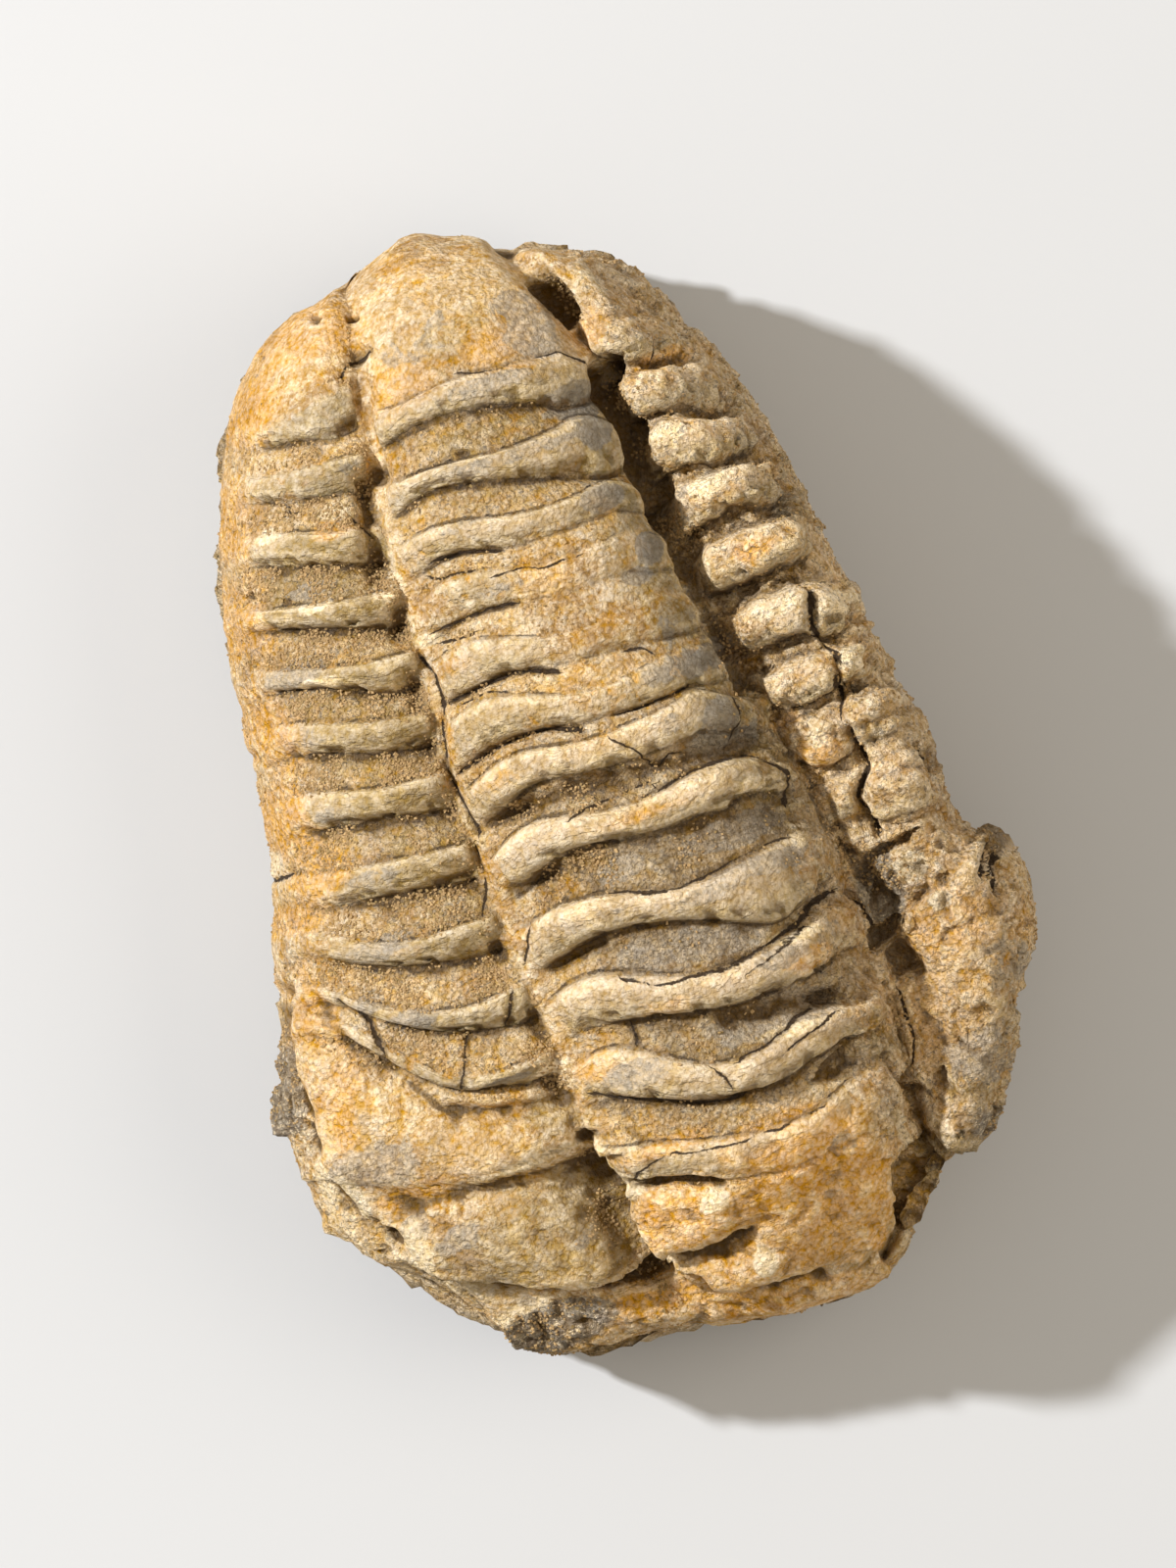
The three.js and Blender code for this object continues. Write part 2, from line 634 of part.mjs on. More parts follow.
// One closed loop: down the left side lobe, over the middle, down the right, and back under the stone.
function rowOfPoints(q) {
  const lobeShare = (step) => Math.sin((step / LOBE_STEPS - 0.5) * Math.PI);
  const row = [];
  for (let step = PLEURA_STEPS; step > 0; step -= 1) {
    row.push(bandedPoint(sidePoint, "left", q, SIDE_SHARES[step]));
  }
  for (let step = 0; step <= LOBE_STEPS; step += 1) {
    row.push(bandedPoint(lobePoint, "middle", q, lobeShare(step)));
  }
  for (let step = 1; step <= PLEURA_STEPS; step += 1) {
    row.push(bandedPoint(sidePoint, "right", q, SIDE_SHARES[step]));
  }

  // Under the margin the rock runs in and down to the flat.
  const left = placeAlong(LEFT_MARGIN, q);
  const right = placeAlong(RIGHT_MARGIN, q);
  const depth = MARGIN_HEIGHT * depthShare(q);
  const width = right.x - left.x;
  const inset = Math.min(UNDERCUT, width * 0.3);
  const under = (x, drop) => {
    const share = width > 0.01 ? (x - left.x) / width : 0.5;
    const point = left.clone().lerp(right, share);
    point.z -= drop;
    row.push({ point, q, part: "under", across: share * 2 - 1, back: 0 });
  };
  for (let step = 1; step <= FLANK_STEPS; step += 1) {
    const angle = (step / FLANK_STEPS) * (Math.PI / 2);
    under(right.x - inset * (1 - Math.cos(angle)), depth * Math.sin(angle));
  }
  for (let step = 1; step <= FLOOR_STEPS; step += 1) {
    under(mix(right.x - inset, left.x + inset, step / FLOOR_STEPS), depth);
  }
  for (let step = FLANK_STEPS - 1; step > 0; step -= 1) {
    const angle = (step / FLANK_STEPS) * (Math.PI / 2);
    under(left.x + inset * (1 - Math.cos(angle)), depth * Math.sin(angle));
  }
  return row;
}

// Rows: few where the ends curl under, and six to a segment, placed where the band profile turns.
function rowPlaces() {
  const tail = [-2.52, -2.35, -2.1, -1.8, -1.45, -1.1, -0.75, -0.4, -0.1];
  const segment = [0.01, 0.16, 0.42, 0.54, 0.75, 0.95];
  const head = [0.25, 0.5, 0.75, 1, 1.25, 1.5, 1.75, 2, 2.25, 2.5, 2.75, 3, 3.2, 3.38, 3.5, 3.57];
  const places = [...tail];
  for (let n = 0; n < 12; n += 1) places.push(...segment.map((share) => n + share));
  return [...places, ...head.map((share) => 12 + share)];
}

// ---- Relief: how far each point moves out along the smooth body's normal ----
function ribs({ q, part, across }) {
  if (part === "under") return 0;
  const bands = BANDS[part];
  const place = part === "middle" ? q : q + PLEURA_OFFSET;
  const shows = [0, 1, 2].map((n) => stepped(bands.map((band, k) => [k + 1, band.shows[n]]), place));
  const height = stepped(BAND_PROFILE, place - Math.floor(place));
  const end = 1 - ramp(place, bands.length, bands.length + 0.3);
  if (part === "middle") {
    const show = mix(shows[1], shows[across < 0 ? 0 : 2], Math.abs(across));
    return RING_RELIEF * show * ramp(q, 0.1, 0.9) * end * (1 - Math.abs(across) ** 8) * height;
  }
  const relief = part === "left" ? RIB_RELIEF : KNOB_RELIEF;
  return relief * shows[1] * ramp(place, 0.3, 0.9) * end * (1 - 0.85 * ramp(across, 0.7, 0.97)) * height;
}

function features({ x, y, z }) {
  let height = 0;
  for (const [depth, half, ...points] of GROOVES) {
    height -= depth * bell(nearest(points, x, y).distance / half);
  }
  for (const [drop, run, ...points] of LEDGES) {
    const { distance, side } = nearest(points, x, y);
    const reach = 1 - ramp(distance, run * 0.8, run * 3);
    height -= (drop / 2) * reach * side * ramp(distance, 0, 0.8);
  }
  for (const [lx, ly, lz, rx, ry, rz, tall] of [...LUMPS, ...PITS]) {
    const distance = Math.hypot((x - lx) / rx, (y - ly) / ry, (z - lz) / rz);
    height += tall * (1 - ramp(distance, 0.35, 1.5));
  }
  return height;
}

// Smoothest on the rings, rougher on the flanks and the crushed right side, and broken rock underneath.
function roughness({ point, part, across, back }) {
  const coarse = noise(point, 6) * 0.5 + noise(point, 2.7) * 0.5;
  const flank = part === "middle" ? 0 : ramp(Math.abs(across), 0.6, 0.95);
  const crushed = ramp(point.x, 7, 10);
  return coarse * (back ? 0.32 + 0.35 * flank + 0.3 * crushed : 0.95);
}

// The worn flat stays a true plane, and the rock round it rises a little.
function settle(point) {
  const [x, y] = [(point.x - FLAT_MIDDLE[0]) / FLAT_RADII[0], (point.y - FLAT_MIDDLE[1]) / FLAT_RADII[1]];
  const outside = ramp(Math.hypot(x, y), 1, 1.35);
  point.z = Math.max(point.z, 0.9 * outside);
  if (point.z < 1.6) point.z *= outside;
}

// ---- Build the mesh ----
function buildStone() {
  const rows = rowPlaces().map(rowOfPoints);
  const columns = rows[0].length;
  const at = (i, j) => rows[i][(j + columns) % columns].point;
  const tip = (knot) => new THREE.Vector3(knot[1], knot[2], knot[3]);

  const shaped = rows.map((row, i) =>
    row.map((spot, j) => {
      const down = at(Math.min(i + 1, rows.length - 1), j).clone().sub(at(Math.max(i - 1, 0), j));
      const over = at(i, j + 1).clone().sub(at(i, j - 1));
      const normal = down.cross(over).normalize();
      const relief = spot.back ? ribs(spot) : 0;
      const move = relief + features(spot.point) * (spot.back || spot.point.z > 5 ? 1 : 0);
      const point = spot.point.clone().addScaledVector(normal, move + roughness(spot));
      if (!spot.back) settle(point);
      return point;
    }),
  );

  const positions = [];
  const indices = [];
  const add = (p) => positions.push(p.x - OUTLINE_MIDDLE[0], p.y - OUTLINE_MIDDLE[1], p.z);
  shaped.forEach((row) => row.forEach(add));
  add(tip(TAIL_TIP));
  add(tip(HEAD_TIP));
  const tailTip = shaped.length * columns;
  const headTip = tailTip + 1;
  const index = (i, j) => i * columns + (j % columns);

  for (let j = 0; j < columns; j += 1) {
    indices.push(tailTip, index(0, j), index(0, j + 1));
    indices.push(headTip, index(shaped.length - 1, j + 1), index(shaped.length - 1, j));
    for (let i = 0; i < shaped.length - 1; i += 1) {
      const [a, b] = [index(i, j), index(i, j + 1)];
      const [c, d] = [index(i + 1, j), index(i + 1, j + 1)];
      const acrossOne = shaped[i][j].distanceTo(shaped[i + 1][(j + 1) % columns]);
      const acrossTwo = shaped[i][(j + 1) % columns].distanceTo(shaped[i + 1][j]);
      if (acrossOne < acrossTwo) indices.push(a, c, d, a, d, b);
      else indices.push(a, c, b, b, c, d);
    }
  }
  const geometry = new THREE.BufferGeometry();
  geometry.setAttribute("position", new THREE.Float32BufferAttribute(positions, 3));
  geometry.setIndex(indices);
  geometry.computeVertexNormals();
  return geometry;
}

const stone = new THREE.MeshStandardMaterial({ color: 0x9a7a4a, roughness: 0.92, metalness: 0 });
const fossil = new THREE.Mesh(buildStone(), stone);
fossil.name = "fossil_trilobite";

const group = new THREE.Group();
group.add(fossil);
export default group;
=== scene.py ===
# %% [markdown]
# # A fossil trilobite
# The object is one piece of stone, 73 mm long, that keeps the back of a trilobite in relief: a middle lobe
# crossed by rings, a side lobe with ribs on either hand, a tail that curls over and a broken head shield.
# It is one mesh, and the notebook makes it in the order in which a sculptor would: the smooth body first,
# then the ribs, then the single grooves and lumps, then the rough rock, and last the colour.

# %% The frame
import json
import math
import bpy
import numpy as np
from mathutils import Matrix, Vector

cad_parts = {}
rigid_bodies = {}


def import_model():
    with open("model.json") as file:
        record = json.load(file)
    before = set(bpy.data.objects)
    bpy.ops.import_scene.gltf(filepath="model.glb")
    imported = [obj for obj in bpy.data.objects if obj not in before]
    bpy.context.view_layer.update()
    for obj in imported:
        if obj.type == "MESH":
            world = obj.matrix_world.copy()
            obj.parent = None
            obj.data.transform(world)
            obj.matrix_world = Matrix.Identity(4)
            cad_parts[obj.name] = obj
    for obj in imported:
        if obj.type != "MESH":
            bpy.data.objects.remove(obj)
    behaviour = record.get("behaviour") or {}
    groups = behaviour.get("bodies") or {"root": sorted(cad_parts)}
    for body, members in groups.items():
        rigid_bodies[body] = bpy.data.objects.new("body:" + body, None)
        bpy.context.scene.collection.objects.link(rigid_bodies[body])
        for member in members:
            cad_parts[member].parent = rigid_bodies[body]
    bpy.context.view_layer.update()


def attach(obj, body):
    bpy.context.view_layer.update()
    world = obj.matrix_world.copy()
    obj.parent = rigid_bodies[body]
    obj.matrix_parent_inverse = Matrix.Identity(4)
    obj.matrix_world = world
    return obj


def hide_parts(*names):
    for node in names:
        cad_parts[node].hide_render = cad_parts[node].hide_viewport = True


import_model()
MM = 0.001

# %% [markdown]
# ## Camera
# The stone lies on its flat and the camera looks straight down on it, from far enough away that the high
# middle lobe isn't drawn much larger than the low margin. A long lens does that without moving anything.

# %% Camera
def placed(name, data):
    """A new object in the scene that shows this data."""
    obj = bpy.data.objects.new(name, data)
    bpy.context.scene.collection.objects.link(obj)
    return obj


PICTURE_TURN = math.radians(-19.3)
PICTURE_HEIGHT = 99.8 * MM  # what the picture's long side spans at the height below
FOCUS_HEIGHT = 11 * MM
LENS = 500.0
SENSOR = 36.0
PICTURE_MIDDLE = (1.66 * MM, -0.22 * MM)

camera_data = bpy.data.cameras.new("camera")
camera_data.lens = LENS
camera_data.sensor_width = SENSOR
camera = placed("camera", camera_data)
distance = PICTURE_HEIGHT * LENS / SENSOR
camera.location = (*PICTURE_MIDDLE, FOCUS_HEIGHT + distance)
camera.rotation_euler = (0, 0, PICTURE_TURN)
bpy.context.scene.camera = camera
camera_data.clip_start, camera_data.clip_end = 0.01, 10

# %% [markdown]
# ## Light
# A relief only reads when light comes from one side. So one small lamp shines across the stone from beyond
# the left of the tail, like an afternoon sun, and throws a crisp shadow under every ring. A wide weak lamp
# and a warm surround lift those shadows, as light does that has already bounced off sandy stone. Even light
# from all sides would wash the ribs out.

# %% Lamps
SUNLIGHT = (0.975, 0.985, 1.0)
BOUNCED_LIGHT = (1.0, 0.91, 0.78)
LAMP_DISTANCE = 0.9


def lamp(name, toward, size, power, colour):
    """A square lamp that shines on the stone from the direction `toward`."""
    data = bpy.data.lights.new(name, "AREA")
    data.size = size
    data.energy = power
    data.color = colour
    obj = placed(name, data)
    direction = Vector(toward).normalized()
    obj.location = direction * LAMP_DISTANCE
    obj.rotation_euler = direction.to_track_quat("Z", "Y").to_euler()


lamp("key", toward=(-0.7, 0.55, 0.72), size=0.05, power=11.5, colour=SUNLIGHT)
lamp("fill", toward=(0.9, -0.2, 0.8), size=0.7, power=3.2, colour=BOUNCED_LIGHT)
world = bpy.data.worlds.new("pale surround")
world.use_nodes = True
surround = world.node_tree.nodes["Background"]
surround.inputs["Color"].default_value = (*BOUNCED_LIGHT, 1)
surround.inputs["Strength"].default_value = 0.46
bpy.context.scene.world = world
bpy.context.scene.view_settings.view_transform = "Standard"

# %% [markdown]
# ## Small maths
# The shape is worked out with numpy on whole arrays of points, in millimetres, in the same sketch
# coordinates as the solid's own guides. The noise is a plain value noise with a fixed hash, so that every
# run gives the same stone.

# %% Small maths
def ramp(v, low, high):
    """A smooth step from 0 at low to 1 at high."""
    t = np.clip((v - low) / (high - low), 0, 1)
    return t * t * (3 - 2 * t)


def bell(d):
    """A bell curve: 1 at nought, and next to nothing beyond 2."""
    return np.exp(-d * d)


def along(knots, q):
    """Points on the smooth curve through a guide's knots, for an array of places q."""
    knots = np.array(knots, float)
    last = len(knots) - 1
    k = np.clip(np.searchsorted(knots[:, 0], q), 1, last)
    a, b = knots[k - 1], knots[k]
    before, after = knots[np.maximum(k - 2, 0)], knots[np.minimum(k + 1, last)]
    span = b[:, :1] - a[:, :1]
    t = np.clip((q[:, None] - a[:, :1]) / span, 0, 1)
    slope_a = (b - before)[:, 1:] / (b - before)[:, :1] * span
    slope_b = (after - a)[:, 1:] / (after - a)[:, :1] * span
    bend = t * t * (3 - 2 * t)
    return a[:, 1:] + (b - a)[:, 1:] * bend + slope_a * t * (1 - t) ** 2 + slope_b * t * t * (t - 1)


def corner_value(i, j, k):
    """A value from -1 to 1 for one corner of a grid of cubes: it looks random, but is always the same."""
    h = (i * 374761393) ^ (j * 668265263) ^ (k * 1274126177)
    h = ((h ^ ((h & 0xFFFFFFFF) >> 13)) * 1103515245) & 0xFFFFFFFF
    return (h ^ (h >> 16)) / 4294967295 * 2 - 1


SHIFT = 17.31  # in features: how far apart two noises are read, so that they look unrelated


def noise(points, size, shift=0):
    """Repeatable value noise from -1 to 1 at points in mm, with features about `size` mm across."""
    scaled = points / size + shift * SHIFT
    cell = np.floor(scaled).astype(np.int64)
    u, v, w = np.moveaxis(ramp(scaled - cell, 0, 1), -1, 0)
    i, j, k = np.moveaxis(cell, -1, 0)
    total = 0
    for di, wi in ((0, 1 - u), (1, u)):
        for dj, wj in ((0, 1 - v), (1, v)):
            for dk, wk in ((0, 1 - w), (1, w)):
                total = total + wi * wj * wk * corner_value(i + di, j + dj, k + dk)
    return total


def rock_noise(points, size, octaves=3, shift=0):
    """Several sizes of noise added up, each half as large and half as strong as the one before."""
    total = sum(noise(points, size / 2**n, shift + n) / 2**n for n in range(octaves))
    return total / sum(0.5**n for n in range(octaves))


def facets(points, size, shift=0):
    """Flat facets about `size` mm across, each tilted its own way, with a ledge where two of them meet."""
    scaled = points / size + shift * SHIFT
    base = np.floor(scaled).astype(np.int64)
    best = np.full(points.shape[:-1], np.inf)
    height = np.zeros(points.shape[:-1])
    for di, dj, dk in np.ndindex(3, 3, 3):
        i, j, k = np.moveaxis(base + (di - 1, dj - 1, dk - 1), -1, 0)
        chance = [corner_value(i + 71 * n, j, k + 37 * n) for n in range(6)]
        offset = scaled - np.stack([i, j, k], axis=-1) - 0.5 - 0.4 * np.stack(chance[:3], axis=-1)
        gap = np.sum(offset**2, axis=-1)
        tilted = np.sum(offset * np.stack(chance[3:], axis=-1), axis=-1)
        height = np.where(gap < best, tilted, height)
        best = np.minimum(best, gap)
    return height


def nearest(line, x, y):
    """Distance from each point to a plan line, and its side of it: + is the right hand as it is walked."""
    best = np.full(x.shape, np.inf)
    side = np.ones(x.shape)
    for (ax, ay), (bx, by) in zip(line, line[1:]):
        dx, dy = bx - ax, by - ay
        t = np.clip(((x - ax) * dx + (y - ay) * dy) / (dx * dx + dy * dy), 0, 1)
        gap = np.hypot(x - ax - dx * t, y - ay - dy * t)
        nearer = gap < best
        side = np.where(nearer, np.where(dy * (x - ax) - dx * (y - ay) >= 0, 1.0, -1.0), side)
        best = np.where(nearer, gap, best)
    return best, side

# %% [markdown]
# ## The guides
# Five long lines carry the body from the tail to the head: the two margins, the two furrows beside the
# middle lobe, and the crest between them. Each knot is [segment, x, y, z], where segment counts the rings
# from the tail. Because every line is read at the same segment, a ring and its two ribs stay on one row.

# %% Guides
OUTLINE_MIDDLE = np.array([-3.81, 1.63, 0.0])
MARGIN_HEIGHT = 8.0
UNDERCUT = 7.0
TAIL_TIP = [-2.6, -1, 38.1, MARGIN_HEIGHT]
HEAD_TIP = [15.6, 0.5, -34.3, MARGIN_HEIGHT - 1]


def level(*knots):
    """A margin: plan points, all at the margin's height, from the tail's tip to the head's."""
    return [TAIL_TIP, *([*knot, MARGIN_HEIGHT] for knot in knots), HEAD_TIP]


LEFT_MARGIN = level(
    [-2.1, -6.6, 36.4], [-1.1, -11.6, 35.2], [0, -15.7, 31.4], [1.5, -18.3, 26.2], [3, -20.4, 20],
    [5, -21.7, 11.5], [6.7, -22.6, 4], [8.2, -24.4, -1.6], [10, -26.4, -7.6], [11.5, -27.7, -13],
    [12.8, -26.9, -20.3], [13.9, -22.2, -26.6], [14.8, -16.6, -32], [15.3, -8.5, -33.2],
)
RIGHT_MARGIN = level(
    [-2.1, 6.2, 34.5], [-1, 10.3, 32.4], [0, 12.5, 29.3], [1.5, 15, 23.4], [3, 16.4, 17.6],
    [5, 17.3, 9.6], [6.7, 18.3, 2], [8, 19.3, -3.8], [9.1, 19.2, -8.2], [9.8, 20.9, -10.6],
    [11, 21.1, -15.6], [12.3, 18, -22], [13.4, 15.2, -26.2], [14.4, 9.6, -31], [15.1, 5.6, -34.1],
)
LEFT_FURROW = [
    TAIL_TIP, [-2.1, -5.7, 36.6, 13.5], [-1, -6.4, 34.2, 18.2], [0, -7.4, 30.2, 20.6],
    [2, -8.5, 21.2, 22], [4, -9, 13, 22.3], [6, -9.7, 5, 22.2], [8, -9.7, -4.1, 21.6],
    [10, -8.9, -13.3, 20.4], [12, -9.2, -22.3, 18.2], [13.5, -8.9, -27.8, 15.6],
    [14.6, -6.8, -31.4, 13], [15.2, -4, -33.4, 11], HEAD_TIP,
]
CREST = [
    TAIL_TIP, [-2.1, -1.2, 37.7, 14.5], [-1, -1, 34.9, 20.6], [0, -0.6, 30.9, 23.6],
    [2, -0.4, 21.3, 26], [5, -0.2, 8.5, 27], [7, 0.2, 1.6, 26.8], [9, 0.8, -8.8, 25.6],
    [10, 1, -14.8, 24.4], [11, 1, -20.4, 23], [12, 0.8, -24.8, 21.4], [13.5, 0.3, -29.7, 18.4],
    [14.6, 0.2, -33, 14.6], [15.2, 0.4, -34.1, 11.4], HEAD_TIP,
]
RIGHT_FURROW = [
    TAIL_TIP, [-2.1, 2.9, 36.3, 13.5], [-1, 5.3, 33.7, 17.6], [0, 6.7, 29.6, 19.4],
    [2, 7.8, 20.2, 20.6], [4, 8.8, 12.4, 20.8], [6, 9.8, 4.7, 20.6], [8, 10.9, -3.4, 19.8],
    [9, 11.3, -8.7, 18.9], [10.5, 11.3, -16.4, 17.6], [12, 10.8, -22.6, 16.2],
    [13.5, 9, -28.4, 14.2], [14.6, 7, -31.6, 12], [15.2, 4.6, -33.8, 10], HEAD_TIP,
]
TAIL_END, HEAD_END = TAIL_TIP[0], HEAD_TIP[0]

# %% [markdown]
# ## Where each ring and rib lies
# No two rings of the real animal lie alike: the crushed right side leans, and the rings fan out towards the
# head. So each band has two drawn lines, its upper edge and its lower edge, and the rows of the mesh bend to
# follow them. A step in the relief then falls between two rows, and stays sharp with few faces.

# %% Ring and rib lines
RINGS = [  # upper edge, lower edge, and how strongly the step shows at the left, middle and right
    ([(-8, 27.6), (-4, 27.9), (-1, 28.3), (3, 27.9), (5.5, 27.6), (6.8, 26)],
     [(-7.5, 25.3), (-6.3, 26.1), (-4.8, 26.4), (-2, 26.1), (1, 25.8), (3, 25), (5, 24.1), (7, 23.6)],
     (1.0, 0.9, 0.75)),
    ([(-8, 22.9), (-3.5, 23.3), (0, 23), (3, 23.1), (5, 23.6), (6.3, 22.9), (7.3, 21.6)],
     [(-8, 21.2), (-5.5, 22.2), (-3, 21.9), (0, 21.2), (2.5, 20.4), (4.5, 19.4), (7, 18.9)],
     (1.05, 1.0, 0.85)),
    ([(-8, 19.9), (-4, 19.7), (-2, 19.2), (0.5, 18.7), (3, 18.7), (5, 19), (6.5, 18.4), (7.5, 17)],
     [(-8, 17.6), (-6, 17.8), (-4, 17.4), (-2, 17), (1, 16.9), (4, 17), (6.5, 16.5), (8, 15.7)],
     (0.8, 0.3, 0.45)),
    ([(-8.3, 16.8), (-5, 16.7), (-3, 16), (0, 15.5), (3, 15.4), (5, 15.6), (7, 15), (8.3, 14)],
     [(-8.5, 13.6), (-5.5, 14), (-2.7, 13.7), (0, 13.3), (3, 13.4), (6, 12.6), (8.5, 11.8)],
     (0.75, 0.2, 0.35)),
    ([(-8.8, 12.9), (-6, 12.8), (-4, 11.8), (-2, 11.1), (0, 10.5), (2, 10.8), (5, 11.4), (7, 11), (9, 10)],
     [(-9, 9.2), (-6, 9.6), (-4.5, 9.7), (-2.5, 9.2), (0, 8.7), (3, 8.6), (6, 8.3), (9, 8)],
     (0.85, 0.3, 0.4)),
    ([(-9.3, 8.8), (-6, 8.9), (-4, 8.1), (-2, 7), (0, 6.7), (3, 6.9), (6, 7.5), (7.5, 7.2), (9.3, 6)],
     [(-9.6, 4.9), (-7, 5.6), (-4, 5.6), (-1.5, 5), (2, 4.8), (6, 4.8), (9.5, 4.6)],
     (0.95, 0.45, 0.45)),
    ([(-9.6, 4.6), (-6, 4.9), (-3, 4.2), (0, 3.9), (3, 4.3), (6, 4.6), (8, 4), (9.8, 2.5)],
     [(-9.5, 0.9), (-8, 1.7), (-6, 2.4), (-3.5, 2.2), (0, 1.8), (3, 1.9), (6.5, 1.7), (10, 1.2)],
     (1.15, 0.75, 0.75)),
    ([(-9.7, 0.3), (-6, 0.5), (-3, -0.2), (0, -0.8), (2, -0.8), (4.5, 0), (8, -0.1), (9.3, -1), (10.4, -2.5)],
     [(-9.5, -4.3), (-7.5, -3.2), (-5.5, -2), (-3, -2.2), (0.8, -3.3), (2.3, -2.9), (5, -3), (8, -2.8),
      (11, -3.6)],
     (1.15, 0.8, 0.85)),
    ([(-9.3, -5.5), (-6, -5.1), (-3, -5.5), (0, -6.6), (3.2, -7), (5.5, -6.3), (9, -5.8), (11.2, -7)],
     [(-9, -9.3), (-7, -8.3), (-4, -7.9), (-1, -8.6), (2, -9.3), (4, -10.2), (6.5, -11), (11, -9.9)],
     (1.2, 0.9, 0.9)),
    ([(-9, -9.9), (-6, -9.7), (-4, -10.6), (-2, -11.6), (0.5, -12.4), (3, -12.5), (6.5, -11.9),
      (8.5, -11.3), (10, -10.6), (11.4, -10.8)],
     [(-9, -13.2), (-6, -13.6), (-3, -14.1), (0, -14.8), (4, -15.1), (8, -14.7), (11.4, -13.5)],
     (1.0, 0.95, 1.0)),
    ([(-9.5, -14.6), (-7.5, -14.2), (-5, -15), (-2.5, -17), (0, -18.7), (2, -18.2), (4, -17.9),
      (6.5, -16.9), (9, -17.3), (11.3, -17.6)],
     [(-9.5, -16.2), (-7.5, -17.8), (-5, -18.8), (-2, -20.3), (0, -20.6), (3, -20.8), (5.5, -20.2),
      (8, -19.4), (11, -19.5)],
     (1.05, 1.05, 0.8)),
    ([(-9.2, -21.4), (-7, -21), (-4, -21.9), (-1, -22.7), (2, -23), (5, -22.8), (7.5, -21.8), (10.5, -21.5)],
     [(-8.6, -23.3), (-6, -24), (-3, -25), (0, -25.8), (4, -26), (10.5, -25)],
     (0.8, 0.3, 0.3)),
]
LEFT_RIBS = [
    ([(-17, 30.4), (-14, 30.8), (-10, 30.9), (-8, 30.7)],
     [(-17, 28.2), (-14, 28), (-12.5, 27.9), (-10.5, 27.3), (-8, 27.2)], 0.7),
    ([(-18, 26.6), (-14, 26.3), (-10, 26), (-8, 26)],
     [(-18, 25.2), (-15.5, 24.8), (-13, 24.2), (-11, 23.8), (-8, 23.4)], 0.8),
    ([(-19.5, 23.6), (-16, 23), (-13, 22), (-10.5, 21.2), (-8, 20.8)],
     [(-20, 22.3), (-18.5, 21.5), (-16, 20.7), (-13, 19.7), (-10.5, 18.8), (-8, 18)], 1.25),
    ([(-20.5, 19), (-16, 18.2), (-13.5, 17.5), (-11, 17.1), (-8.5, 16.4)],
     [(-20.5, 18), (-18, 17.1), (-15, 16.2), (-12, 15), (-10, 14.2), (-8.5, 13.9)], 1.25),
    ([(-21.5, 15.6), (-18, 14.6), (-14, 13.4), (-11, 13), (-9, 12.7)],
     [(-21.5, 14.2), (-18, 13.1), (-16, 12.4), (-13, 11.2), (-11, 10.2), (-9, 9.9)], 1.25),
    ([(-22, 12), (-18, 11), (-15, 10), (-12, 9.3), (-9.3, 9.2)],
     [(-22, 9.9), (-19.5, 9.1), (-16.5, 8.2), (-13.5, 7.4), (-11, 6.9), (-9.3, 6.8)], 1.2),
    ([(-22.5, 6.9), (-18, 6.4), (-16, 5.9), (-13, 5.2), (-10.5, 5.6), (-9.5, 5.5)],
     [(-22.5, 4.4), (-19, 4), (-16, 3.6), (-13, 3), (-11, 2.5), (-9.5, 2.5)], 1.15),
    ([(-23, 2.2), (-20, 1.6), (-16, 1), (-12, 0.5), (-9.5, 0.4)],
     [(-23.5, 0), (-20, -0.8), (-17, -1.2), (-14, -1.7), (-11, -2.3), (-9.5, -2.4)], 1.1),
    ([(-24, -0.6), (-22, -1.4), (-20, -2.6), (-17.5, -4.1), (-14, -4.4), (-11, -4.5), (-9.2, -4.9)],
     [(-24, -1.9), (-22.5, -2.9), (-21, -4.1), (-19, -5.3), (-16.5, -6), (-13.5, -6.6), (-11, -7.2),
      (-9.2, -7.6)], 1.05),
    ([(-24.5, -3), (-22, -5.3), (-20, -7), (-17.5, -8.6), (-14, -9.4), (-11.5, -9.3), (-9, -9.3)],
     [(-25, -3.8), (-21.5, -6.8), (-20, -8.2), (-18, -9.9), (-16, -10.6), (-13, -11.4), (-10.5, -12.1),
      (-9, -12.2)], 0.9),
    ([(-24.5, -4.5), (-22, -7), (-20, -9.8), (-18, -12.2), (-16.2, -13.7), (-14.5, -13.9), (-12, -13.8),
      (-9, -14)],
     [(-25, -5.5), (-22.5, -8.2), (-20.5, -10.8), (-18.5, -13.2), (-17, -14.6), (-15.5, -14.9),
      (-12.5, -15.3), (-9, -16)], 0.7),
]
